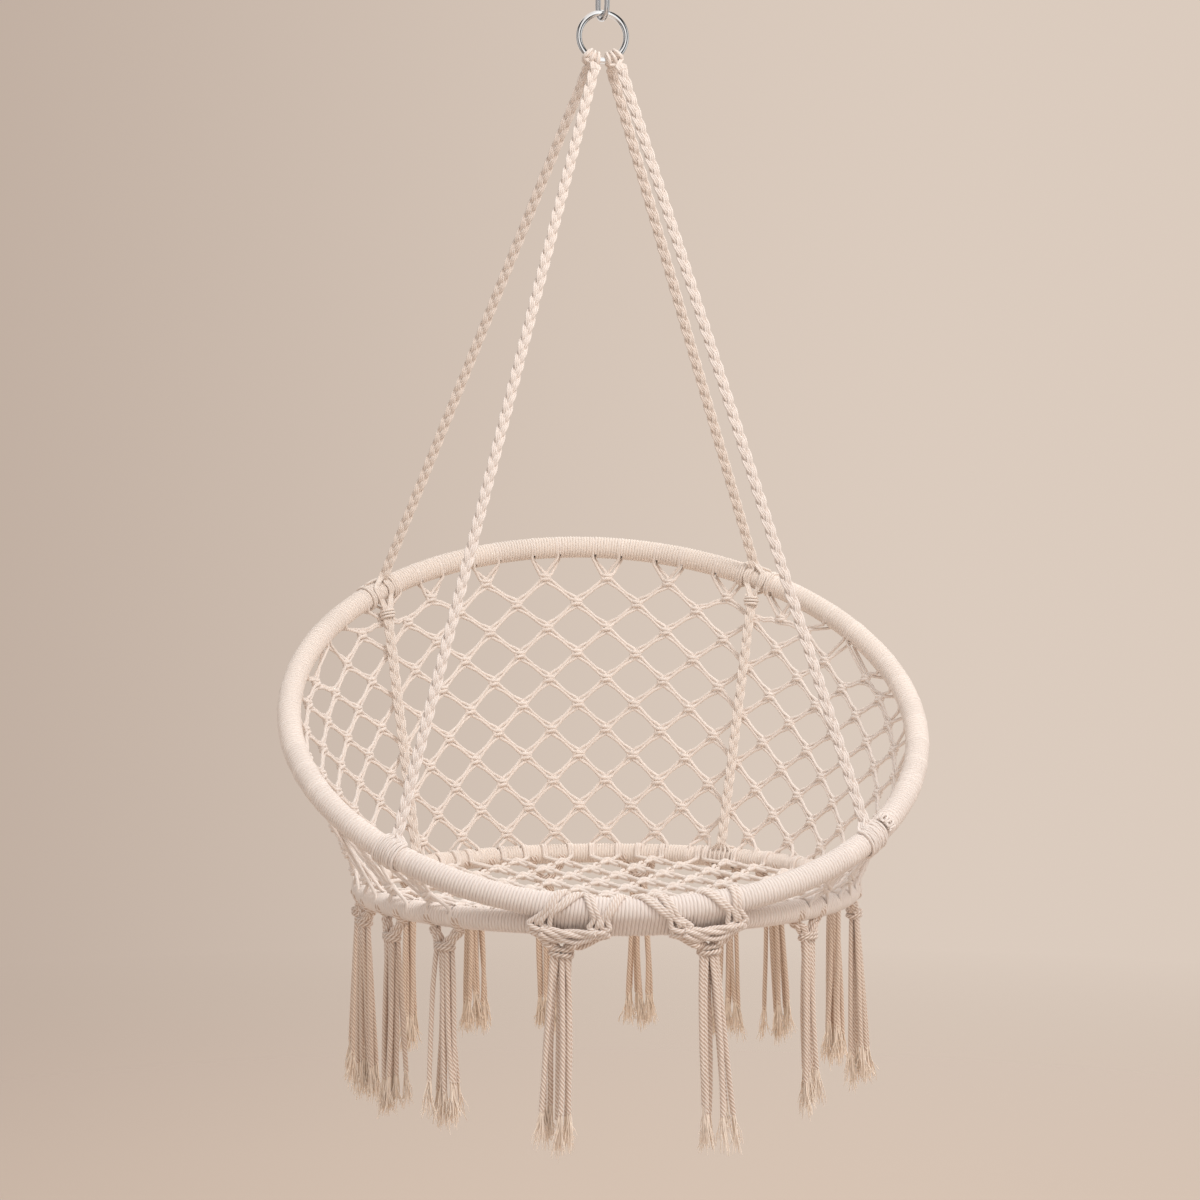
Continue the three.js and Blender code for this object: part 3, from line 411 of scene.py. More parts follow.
class WindingTree(CordTree):
    """Winds a cord round the lines that it is given."""

    name = "wound_cord"
    own_inputs = {
        "Axis": ("NodeSocketVector", (0.0, 0.0, 1.0)),
        "Pitch": ("NodeSocketFloat", 0.004),
        "Winding Radius": ("NodeSocketFloat", 0.012),
        "Points per Turn": ("NodeSocketFloat", 12.0),
        "Cord Radius": ("NodeSocketFloat", 0.0018),
        "Slack": ("NodeSocketFloat", 0.0),
        "Slack Rate": ("NodeSocketFloat", 260.0),
        "Seed": ("NodeSocketFloat", 1.0),
    }

    def route(self, lines: Wire) -> Wire:
        """Returns a helix round each line.

        Args:
            lines: The lines that the cord winds round.
        """
        graph = self.graph
        lines = graph.resampled(lines, self.value("Pitch") / self.value("Points per Turn"))
        length = self.length()
        turn = length * FULL_TURN / self.value("Pitch")
        along = graph.add("GeometryNodeInputTangent")
        side = graph.vector("CROSS_PRODUCT", along, self.value("Axis"))
        noise = graph.add(
            "ShaderNodeTexNoise",
            {"W": length * self.value("Slack Rate") + self.value("Seed"), "Scale": 1.0, "Detail": 1.0},
            noise_dimensions="1D",
            normalize=False,
        )
        reach = self.value("Winding Radius") + noise * self.value("Slack")
        first = graph.vector("SCALE", self.value("Axis"), reach * turn.sine())
        second = graph.vector("SCALE", side, reach * turn.cosine())
        drift = graph.vector("SCALE", along, noise * self.value("Slack") * 1.5)
        lines = graph.moved(lines, graph.total(first, second, drift))
        return graph.store(lines, "cord_radius", self.value("Cord Radius"))


class BraidTree(CordTree):
    """Plaits flat strands of cords along the lines that it is given."""

    name = "braided_rope"
    own_inputs = {
        "Strands": ("NodeSocketInt", 3),
        "Lanes": ("NodeSocketInt", 3),
        "Half Width": ("NodeSocketFloat", 0.0045),
        "Half Depth": ("NodeSocketFloat", 0.002),
        "Lay Length": ("NodeSocketFloat", 0.085),
        "Lane Pitch": ("NodeSocketFloat", 0.0027),
        "Step": ("NodeSocketFloat", 0.0026),
        "Cord Radius": ("NodeSocketFloat", 0.0015),
    }

    def route(self, lines: Wire) -> Wire:
        """Returns one line for each cord of each strand.

        Args:
            lines: The braids' middle lines.
        """
        graph = self.graph
        lanes, strands = self.value("Lanes"), self.value("Strands")
        lines, number = graph.copies(graph.resampled(lines, self.value("Step")), strands * lanes)
        strand = (number / lanes).floor()
        lane = number - strand * lanes
        turn = (self.length() / self.value("Lay Length") + strand / strands) * FULL_TURN
        wide = graph.named("wide", "FLOAT_VECTOR")
        along = graph.add("GeometryNodeInputTangent")
        deep = graph.vector("CROSS_PRODUCT", along, wide)
        slope = turn.cosine() * self.value("Half Width") * FULL_TURN / self.value("Lay Length")
        lean = 1.0 / (1.0 + slope * slope) ** 0.5
        shift = (lane - (lanes - 1.0) * 0.5) * self.value("Lane Pitch")
        x = turn.sine() * self.value("Half Width") + shift * lean
        y = (turn * 2.0).sine() * self.value("Half Depth")
        offset = graph.total(
            graph.vector("SCALE", wide, x),
            graph.vector("SCALE", deep, y),
            graph.vector("SCALE", along, shift * slope * lean * -1.0),
        )
        lines = graph.store(graph.moved(lines, offset), "tone", (number * 2.4).sine() * 0.5 + 0.5)
        return graph.store(lines, "cord_radius", self.value("Cord Radius"))


class FrayTree(CordTree):
    """Opens the last stretch of a cord into loose yarns."""

    name = "frayed_end"
    own_inputs = {
        "Yarns": ("NodeSocketInt", 20),
        "Spread": ("NodeSocketFloat", 0.0085),
        "Root Spread": ("NodeSocketFloat", 0.0020),
        "Yarn Radius": ("NodeSocketFloat", 0.00086),
        "Tip Taper": ("NodeSocketFloat", 0.55),
        "Seed": ("NodeSocketInt", 3),
    }

    def route(self, lines: Wire) -> Wire:
        """Returns the yarns' lines, each parting from the others towards its tip.

        Args:
            lines: The cords' last stretches.
        """
        graph = self.graph
        lines, copy = graph.copies(lines, self.value("Yarns"))
        number = graph.named("end") * 61.0 + copy
        spread = self._random(number, self.value("Seed"))
        root = self._random(number + 7.0, self.value("Seed"))
        share = graph.add("GeometryNodeSplineParameter").other("Factor")
        wave = (share * 7.0 + number).sine() * share * 0.25
        opening = (share**1.4 + wave) * self.value("Spread")
        offset = graph.total(
            graph.vector("SCALE", spread, opening),
            graph.vector("SCALE", root, self.value("Root Spread")),
        )
        lines = graph.store(graph.moved(lines, offset), "tone", (number * 1.7).sine() * 0.5 + 0.5)
        radius = self.value("Yarn Radius") * (1.0 - share * self.value("Tip Taper"))
        return graph.store(lines, "cord_radius", radius)

    def _random(self, number: Wire, seed: Wire) -> Wire:
        """Returns a random vector that belongs to a number."""
        values = {"Min": (-1.0, -1.0, -0.9), "Max": (1.0, 1.0, 0.9), "ID": number, "Seed": seed}
        return self.graph.add("FunctionNodeRandomValue", values, data_type="FLOAT_VECTOR")


def new_material(name: str) -> tuple[bpy.types.Material, Graph]:
    """Returns an empty material and its tree.

    Args:
        name: The material's name.
    """
    material = bpy.data.materials.new(name)
    material.use_nodes = True
    material.node_tree.nodes.clear()
    return material, Graph(material.node_tree)


@dataclass(frozen=True)
class CottonFinish:
    """Twisted cotton: plies that wind round the cord, with fine fibres over them.

    Fields:
        colour: The cord's colour.
        rear_shade_colour: Painted shade: its colour at the back of the chair, darker and warmer where less
            light falls.
        groove_shade: Painted shade: what the colour is multiplied by in the grooves between the plies.
        twist_rate: How fast the plies turn, in radians of all plies a metre; 0 where the shape turns.
        relief: The plies' height in the bump.
        rear_shade_below: Only cords below this height get the painted rear shade.
        plies: How many plies a cord has.
    """

    name: str
    colour: tuple
    rear_shade_colour: tuple
    groove_shade: tuple
    twist_rate: float
    relief: float
    rear_shade_below: float = 10.0
    plies: int = 3
    fibre_scale: float = 700.0
    patch_scale: float = 9.0
    bump_distance: float = 0.0005

    def make(self) -> bpy.types.Material:
        """Returns the material."""
        material, graph = new_material(self.name)
        place = graph.add("ShaderNodeTexCoord").other("Object")
        around = graph.add("ShaderNodeAttribute", attribute_name="around").other("Vector")
        along = graph.add("ShaderNodeAttribute", attribute_name="along").other("Fac")
        tone = graph.add("ShaderNodeAttribute", attribute_name="tone").other("Fac")
        x, y, _ = graph.parts(around)
        ridge = (y.turn_from(x) * float(self.plies) + along * self.twist_rate).cosine() * 0.5 + 0.5
        fibre = graph.noise(place, self.fibre_scale)
        patch = graph.noise(place, self.patch_scale)
        _, depth, height = graph.parts(place)
        # Painted shade: towards the back of the chair, and only below rear_shade_below, the colour turns to
        # the darker, warmer rear shade colour.
        painted_rear_shade = graph.span(depth, -REAR_REACH, REAR_REACH)
        low = graph.span(height, self.rear_shade_below, self.rear_shade_below - 0.03)
        colour = graph.blend(painted_rear_shade * low, self.colour, self.rear_shade_colour)
        # Painted shade in the grooves between the plies: away from the ply crests the colour is multiplied by
        # groove_shade.
        unshaded_crest = ridge * 0.92 + fibre * 0.12
        colour = graph.blend(unshaded_crest, graph.vector("MULTIPLY", colour, self.groove_shade), colour)
        lift = tone * 0.06 + patch * 0.08 + fibre * 0.04 + 0.92
        relief = ridge * self.relief + fibre * 0.05
        bump = {"Strength": 0.55, "Distance": self.bump_distance, "Height": relief}
        shader = {
            "Base Color": graph.vector("SCALE", colour, lift),
            "Roughness": fibre * 0.12 + 0.84,
            "Normal": graph.add("ShaderNodeBump", bump),
            "Specular IOR Level": 0.25,
            "Sheen Weight": 0.25,
            "Sheen Roughness": 0.5,
        }
        graph.add("ShaderNodeOutputMaterial", {"Surface": graph.add("ShaderNodeBsdfPrincipled", shader)})
        return material


@dataclass(frozen=True)
class SteelFinish:
    """Steel, bright or drawn, with faint scratches and a slight haze."""

    name: str
    colour: tuple
    roughness: float
    scratch_scale: float
    scratch_depth: float
    haze_scale: float = 60.0
    haze_shade: float = 0.88
    scratch_stretch: float = 0.12

    def make(self) -> bpy.types.Material:
        """Returns the material."""
        material, graph = new_material(self.name)
        place = graph.add("ShaderNodeTexCoord").other("Object")
        haze = graph.noise(place, self.haze_scale, 3.0)
        stretch = {"Vector": place, "Scale": (1.0, 1.0, self.scratch_stretch)}
        scratch = graph.noise(graph.add("ShaderNodeMapping", stretch), self.scratch_scale, 4.0)
        bump = {"Strength": 0.04, "Distance": self.scratch_depth, "Height": scratch}
        shader = {
            "Base Color": graph.blend(haze, self.colour, tuple(c * self.haze_shade for c in self.colour)),
            "Metallic": 1.0,
            "Roughness": haze * 0.06 + scratch * 0.04 + self.roughness,
            "Normal": graph.add("ShaderNodeBump", bump),
        }
        graph.add("ShaderNodeOutputMaterial", {"Surface": graph.add("ShaderNodeBsdfPrincipled", shader)})
        return material


class Workshop:
    """Holds the trees and finishes, and turns lines of cord into finished pieces."""

    # Every CottonFinish here and below gives its own colour, then the painted darker, warmer shade at the
    # back of the chair, then the painted shade between the plies, then the twist rate and the ply relief.
    cotton = {
        Slot.WRAP: CottonFinish(
            "wrap_cotton_cord", (0.84, 0.775, 0.735), (0.85, 0.77, 0.70), (0.96, 0.93, 0.91), 620.0, 0.05
        ),
        Slot.NET: CottonFinish(
            "net_cotton_cord", (0.86, 0.795, 0.755), (0.87, 0.79, 0.73), (0.94, 0.91, 0.88), 560.0, 0.09
        ),
        Slot.ROPE: CottonFinish(
            "rope_cotton_cord", (0.85, 0.79, 0.755), (0.85, 0.775, 0.71), (0.90, 0.85, 0.81), 640.0, 0.12
        ),
        Slot.TASSEL: CottonFinish(
            "tassel_cotton_cord",
            (0.90, 0.81, 0.745),
            (0.87, 0.725, 0.595),
            (0.58, 0.47, 0.39),
            0.0,
            0.5,
            rear_shade_below=TASSEL_TOP,
            plies=4,
        ),
    }
    steel = {
        Slot.STEEL: SteelFinish("polished_ring_steel", (0.86, 0.87, 0.88), 0.09, 220.0, 0.0001),
        Slot.TUBE: SteelFinish("drawn_tube_steel", (0.52, 0.53, 0.55), 0.32, 420.0, 0.0004),
    }
    link = SteelFinish("polished_link_steel", (0.74, 0.74, 0.75), 0.13, 260.0, 0.0001)
    twisted = CottonFinish(
        "twisted_net_cord", (0.89, 0.82, 0.775), (0.87, 0.79, 0.72), (0.74, 0.65, 0.58), 0.0, 0.4, plies=4
    )
    yarn = CottonFinish(
        "loose_cotton_yarn",
        (0.98, 0.86, 0.75),
        (0.98, 0.84, 0.70),
        (0.95, 0.88, 0.82),
        0.0,
        0.1,
        rear_shade_below=TASSEL_TOP,
    )

    def __init__(self) -> None:
        """Makes every tree and finish once."""
        self.sweep, self.winding, self.braid, self.fray = CordTree(), WindingTree(), BraidTree(), FrayTree()
        self.finishes = {slot: finish.make() for slot, finish in {**self.cotton, **self.steel}.items()}
        self.link_finish = self.link.make()
        self.twisted_finish = self.twisted.make()
        self.yarn_finish = self.yarn.make()

    def shape(
        self, name: str, lines: "Lines", slot: Slot, values: dict, tree: CordTree | None = None
    ) -> bpy.types.Object:
        """Runs one tree on lines of cord.

        Args:
            name: The finished piece's name.
            lines: The lines.
            slot: The material slot whose finish the piece gets.
            values: Values for the tree's inputs; "Finish" takes the place of the slot's own.
            tree: The tree to run, or None for a plain sweep.

        Returns:
            A plain mesh object.
        """
        tree = tree or self.sweep
        source = lines.mesh(name + "_lines")
        rough = bpy.data.objects.new(name + "_lines", source)
        bpy.context.scene.collection.objects.link(rough)
        modifier = rough.modifiers.new("cords", "NODES")
        modifier.node_group = tree.tree
        for key, value in {"Finish": self.finishes[slot], **values}.items():
            modifier[tree.identifiers[key]] = value
        bpy.context.view_layer.update()
        made = rough.evaluated_get(bpy.context.evaluated_depsgraph_get())
        mesh = bpy.data.meshes.new_from_object(made)
        mesh.name = name
        rough.modifiers.remove(modifier)
        bpy.data.objects.remove(rough)
        bpy.data.meshes.remove(source)
        piece = bpy.data.objects.new(name, mesh)
        bpy.context.scene.collection.objects.link(piece)
        return piece

    def place(self, piece: bpy.types.Object, slot: Slot, body: Body, nodes: Sequence[str]) -> None:
        """Puts a finished piece on its body in place of the frame's nodes, and logs it.

        Args:
            piece: The piece.
            slot: Its material slot; not used.
            body: Its body.
            nodes: The nodes' names.
        """
        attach(piece, body.value)
        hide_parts(*nodes)
        log.info("%s: %d faces", piece.name, len(piece.data.polygons))

    def make(
        self,
        name: str,
        lines: "Lines",
        slot: Slot,
        nodes: Sequence[str],
        values: dict | None = None,
        tree: CordTree | None = None,
        body: Body = Body.CHAIR,
    ) -> None:
        """Shapes one piece and places it.

        Args:
            name: The piece's name.
            lines: Its lines of cord.
            slot: Its material slot.
            nodes: The frame's nodes that it replaces.
            values: Values for the tree's inputs.
            tree: The tree to run, or None for a plain sweep.
            body: The body that it rides on.
        """
        self.place(self.shape(name, lines, slot, values or {}, tree), slot, body, nodes)

    def join(self, pieces: Sequence[bpy.types.Object]) -> bpy.types.Object:
        """Joins pieces into the first."""
        with bpy.context.temp_override(active_object=pieces[0], selected_editable_objects=list(pieces)):
            bpy.ops.object.join()
        return pieces[0]


class Lines:
    """Centre lines of cords, with what varies along them."""

    vectors = ("wide",)

    def __init__(self, seed: int = 1) -> None:
        """Starts with no line and a seed for the cords' tones."""
        self.runs: list[tuple[np.ndarray, dict]] = []
        self.random = np.random.default_rng(seed)

    def add(self, points: np.ndarray, radius: float = 0.0, **more: np.ndarray | float) -> None:
        """Adds one line.

        Args:
            points: Its points.
            radius: The cord's radius along it.
            more: Further named values, one or one for each point.
        """
        values = {"cord_radius": radius, "tone": float(self.random.random()), **more}
        self.runs.append((np.asarray(points, float), values))

    def mesh(self, name: str) -> bpy.types.Mesh:
        """Returns the lines as one mesh of loose edges with named values on its points.

        Args:
            name: The mesh's name.
        """
        edges, start = [], 0
        for points, _ in self.runs:
            steps = np.arange(start, start + len(points) - 1)
            edges.append(np.stack([steps, steps + 1], axis=1))
            start += len(points)
        mesh = bpy.data.meshes.new(name)
        everything = np.concatenate([points for points, _ in self.runs])
        mesh.from_pydata(everything.tolist(), np.concatenate(edges).tolist(), [])
        for key in self.runs[0][1]:
            kind, size, field_name = (
                ("FLOAT_VECTOR", 3, "vector") if key in self.vectors else ("FLOAT", 1, "value")
            )
            columns = [
                np.broadcast_to(np.reshape(values[key], (-1, size)), (len(points), size))
                for points, values in self.runs
            ]
            attribute = mesh.attributes.new(key, kind, "POINT")
            attribute.data.foreach_set(field_name, np.concatenate(columns).ravel())
        return mesh


@dataclass(frozen=True)
class Rail:
    """A round tube bent into a circle."""

    centre: np.ndarray
    radius: float
    ahead: np.ndarray
    tube_radius: float
    wound_radius: float

    @property
    def normal(self) -> np.ndarray:
        """Returns the unit normal of the circle's plane."""
        return np.cross(RIGHT, self.ahead)

    def outward(self, angle: float) -> np.ndarray:
        """Returns the unit direction away from the circle's centre."""
        return math.sin(angle) * RIGHT + math.cos(angle) * self.ahead

    def along(self, angle: float) -> np.ndarray:
        """Returns the unit direction of growing angle."""
        return math.cos(angle) * RIGHT - math.sin(angle) * self.ahead

    def point(self, angle: float) -> np.ndarray:
        """Returns the tube's middle at an angle."""
        return self.centre + self.radius * self.outward(angle)

    def around(self, angle: float, turn: float, reach: float, aside: float = 0.0) -> np.ndarray:
        """Returns a point beside the tube.

        Args:
            angle: The angle on the circle.
            turn: The direction about the tube, 0 outwards and a quarter turn along the normal.
            reach: The distance from the tube's middle.
            aside: A distance along the tube.
        """
        here = angle + aside / self.radius
        way = math.cos(turn) * self.outward(here) + math.sin(turn) * self.normal
        return self.point(here) + reach * way

    def turn_towards(self, angle: float, target: np.ndarray) -> float:
        """Returns the direction about the tube in which a point lies."""
        way = target - self.point(angle)
        return math.atan2(float(way @ self.normal), float(way @ self.outward(angle)))


TILT = math.radians(31)
HOOP = Rail(
    SEAT_CENTRE + np.array([0.0, 0.0201, 0.2140]),
    0.3855,
    np.array([0.0, math.cos(TILT), math.sin(TILT)]),
    0.0105,
    0.0145,
)
SEAT = Rail(SEAT_CENTRE, 0.298, BACK, 0.009, 0.013)


def fuller(way: np.ndarray, centres: np.ndarray, share: float) -> np.ndarray:
    """Returns how much thicker a slack cord is at each point, from its distance to the nearest knot."""
    gaps = np.linalg.norm(way[:, None, :] - centres[None, :, :], axis=2).min(axis=1)
    return 1 + share * np.exp(-((gaps / 0.0075) ** 2))


class Knot:
    """A square knot: two cords pass straight down, two more close round them."""

    def __init__(self, centre: np.ndarray, across: np.ndarray, up: np.ndarray, size: float) -> None:
        """Takes the knot's place, its directions and its size as a factor."""
        self.centre, self.across, self.up, self.size = centre, across, up, size
        self.face = unit(np.cross(across, up))

    def at(self, x: float, y: float, z: float) -> np.ndarray:
        """Returns a point of the knot, from its own measures in millimetres."""
        scale = self.size / 1000
        return self.centre + (x * self.across + y * self.up + z * self.face) * scale

    def path(self, role: str) -> list[np.ndarray]:
        """Returns the way of one cord down through the knot.

        Args:
            role: "left", "right", "left_core" or "right_core".
        """
        rows = {
            "left": [(-6.7, 3.6, 0.2), (-4.6, 2.5, 1.8), (-0.8, 1.9, 3.2), (4.0, 1.3, 2.0), (5.2, 0.0, -0.6),
                     (3.8, -1.2, 1.8), (-0.8, -1.9, 3.2), (-4.6, -2.5, 1.8), (-6.7, -3.6, 0.2)],
            "right": [(6.7, 3.6, 0.2), (4.8, 2.8, 1.2), (0.8, 2.4, -2.8), (-4.0, 1.4, -1.2), (-5.4, 0.0, 1.5),
                      (-4.0, -1.4, -1.2), (0.8, -2.4, -2.8), (4.8, -2.8, 1.2), (6.7, -3.6, 0.2)],
            "left_core": [(-1.2, 5.9, 0.0), (-1.8, 1.6, -0.2), (-1.8, -1.6, -0.2), (-1.2, -5.9, 0.0)],
            "right_core": [(1.2, 5.9, 0.0), (1.8, 1.6, -0.2), (1.8, -1.6, -0.2), (1.2, -5.9, 0.0)],
        }[role]
        return [self.at(*row) for row in rows]


@dataclass
class RopeRun:
    """One braided rope: where it starts and ends, and which way its flat side lies."""

    start: np.ndarray
    end: np.ndarray
    half_width: float = 0.0032
    half_depth: float = 0.0021
    lay_length: float = 0.056
    lane_pitch: float = 0.0023
    cord_radius: float = 0.0015

    @property
    def way(self) -> np.ndarray:
        """Returns the rope's direction."""
        return unit(self.end - self.start)

    @property
    def wide(self) -> np.ndarray:
        """Returns the direction of the braid's width."""
        return unit(np.cross(BACK, self.way))

    @property
    def length(self) -> float:
        """Returns the rope's length."""
        return float(np.linalg.norm(self.end - self.start))

    def cord_at(self, number: int, length: float) -> np.ndarray:
        """Returns where one of the nine cords is at a length along the rope.

        Args:
            number: The cord's number, strand by strand.
            length: The distance from the rope's start.
        """
        strand, lane = divmod(number, STRAND_CORDS)
        turn = FULL_TURN * (length / self.lay_length + strand / 3)
        deep = np.cross(self.way, self.wide)
        slope = math.cos(turn) * self.half_width * FULL_TURN / self.lay_length
        lean = 1 / math.sqrt(1 + slope * slope)
        shift = (lane - 1) * self.lane_pitch
        return (
            self.start
            + self.way * (length - shift * slope * lean)
            + self.wide * (math.sin(turn) * self.half_width + shift * lean)
            + deep * math.sin(2 * turn) * self.half_depth
        )

    def ends_along(self, along: np.ndarray) -> list[tuple[int, list[np.ndarray]]]:
        """Returns each cord's number and its last two points.

        Args:
            along: The direction in which the cords' ends are put in order.
        """
        ends = {number: self.cord_at(number, self.length) for number in range(ROPE_CORDS)}
        order = sorted(ends, key=lambda number: float(ends[number] @ along))
        return [(n, [self.cord_at(n, self.length - CORD_TUCK), ends[n]]) for n in order]

    def build(self, shop: Workshop, node: str) -> None:
        """Builds the braid in place of a frame node.

        Args:
            shop: The workshop.
            node: The frame's node.
        """
        lines = Lines()
        share = np.linspace(0, 1, 12)[:, None]
        lines.add(self.start + (self.end - self.start) * share, wide=self.wide)
        values = {
            "Half Width": self.half_width,
            "Half Depth": self.half_depth,
            "Lay Length": self.lay_length,
            "Lane Pitch": self.lane_pitch,
            "Cord Radius": self.cord_radius,
        }
        shop.make(node + "_braid", lines, Slot.ROPE, [node], values, shop.braid)


@dataclass
class Hardware:
    """The oval link and the ring that the chair hangs from."""

    wire_radius: float = 0.0035
    link_wire_radius: float = 0.00325
    link_bend: float = 0.0155
    link_drop: float = 0.066
    link_turn: float = math.radians(104)
    sides: int = 28

    def ring(self) -> Lines:
        """Returns the middle line of the ring's wire."""
        turns = np.linspace(0, FULL_TURN, 121)[:, None]
        lines = Lines()
        lines.add(RING_CENTRE + RING_RADIUS * (np.cos(turns) * RIGHT + np.sin(turns) * UP), self.wire_radius)
        return lines

    def oval(self) -> Lines:
        """Returns the middle line of the link's wire."""
        side = math.cos(self.link_turn) * RIGHT + math.sin(self.link_turn) * BACK
        half = (self.link_drop - 2 * self.link_bend + 2 * self.link_wire_radius) / 2
        rows = []
        for turn in np.linspace(-math.pi / 2, 3 * math.pi / 2, 97):
            lift = half if math.sin(turn) > 0 else -half
            height = self.link_bend * math.sin(turn) + lift - self.link_drop / 2
            rows.append(height * UP + self.link_bend * math.cos(turn) * side)
        lines = Lines()
        lines.add(np.array(rows), self.link_wire_radius)
        return lines

    def build(self, shop: Workshop) -> None:
        """Builds the ring and the link, and dresses the tubes.

        Args:
            shop: The workshop.
        """
        parts = [
            ("hanging_ring", self.ring(), Body.RING, shop.finishes[Slot.STEEL]),
            ("hanging_link", self.oval(), Body.LINK, shop.link_finish),
        ]
        for name, lines, body, finish in parts:
            values = {"Sides": self.sides, "Finish": finish}
            shop.make(name + "_bright", lines, Slot.STEEL, [name], values, body=body)
        self.dress(shop)

    def dress(self, shop: Workshop) -> None:
        """Gives the bent tubes inside the wound cords their steel."""
        for name in ("hoop_tube", "seat_ring_tube"):
            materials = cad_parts[name].data.materials
            materials.clear()
            materials.append(shop.finishes[Slot.TUBE])


@dataclass
class NetLayout:
    """The back net's knots, on straight lines from the seat ring up to the hoop."""

    rows: int = 11
    row_pitch: float = 0.0345
    side_droop: float = 0.006
    first_height: float = 0.030
    hoop_margin: float = 0.038
    top_room: float = 0.026
    full_columns: int = 7
    last_column: int = 17
    lone_columns: tuple = (19, 21)
    knot_size: float = 1.2

    def line(self, column: float) -> tuple[np.ndarray, np.ndarray, float]:
        """Returns a column's foot, its upward direction and its length.

        Args:
            column: The column's number, 0 at the back and growing to the right.
        """
        angle = column * COLUMN_ANGLE
        foot, head = SEAT.point(angle), HOOP.point(angle)
        return foot, unit(head - foot), float(np.linalg.norm(head - foot))

    def has(self, column: int, row: int) -> bool:
        """Returns whether the net has a knot there.

        Args:
            column: The knot's column.
            row: The knot's row.
        """
        side = abs(column)
        room = (self.line(column)[2] - self.first_height - self.top_room) / self.pitch(column)
        top = min(max(1, side - self.full_columns + 1), math.ceil(self.rows - room), self.rows)
        lone = side in self.lone_columns and row == self.rows
        inside = side <= self.last_column and max(top, 1) <= row <= self.rows
        return lone or (inside and (column + row) % 2 == 0)

    def pitch(self, column: int) -> float:
        """Returns the rise from one row to the next."""
        return self.row_pitch - self.side_droop * math.sin(column * COLUMN_ANGLE) ** 2

    def knot(self, column: int, row: int) -> Knot:
        """Returns the knot of a column and row.

        Args:
            column: The knot's column.
            row: The knot's row.
        """
        foot, up, length = self.line(column)
        height = self.first_height + (self.rows - row) * self.pitch(column)
        across = across_to(SEAT.along(column * COLUMN_ANGLE), up)
        return Knot(foot + up * min(height, length - self.hoop_margin), across, up, self.knot_size)


ROPE_ANGLES = {
    "front_left": math.radians(-136),
    "front_right": math.radians(133.2),
    "back_left": math.radians(-45),
    "back_right": math.radians(38.5),
}
LOWER_FEET = {"left": -8 * COLUMN_ANGLE, "right": 6 * COLUMN_ANGLE}
SEAT_TIE_ROOM = 0.02265
STRAP_SHARES = (0.36, 0.64)
NET_SECTION = {"Sides": 6, "Ply Depth": 0.012}
TWISTED_SECTION = {"Sides": 12, "Plies": 4, "Twist Rate": -330.0}


def beside_ties(angle: float) -> float:
    """Returns an angle on the seat ring, moved beside a lower rope's tie where it would meet one.

    Args:
        angle: The angle before it is moved.
    """
    room = SEAT_TIE_ROOM / SEAT.radius
    for foot in LOWER_FEET.values():
        if abs(foot - angle) < room:
            return foot + math.copysign(room, angle - foot)
    return angle


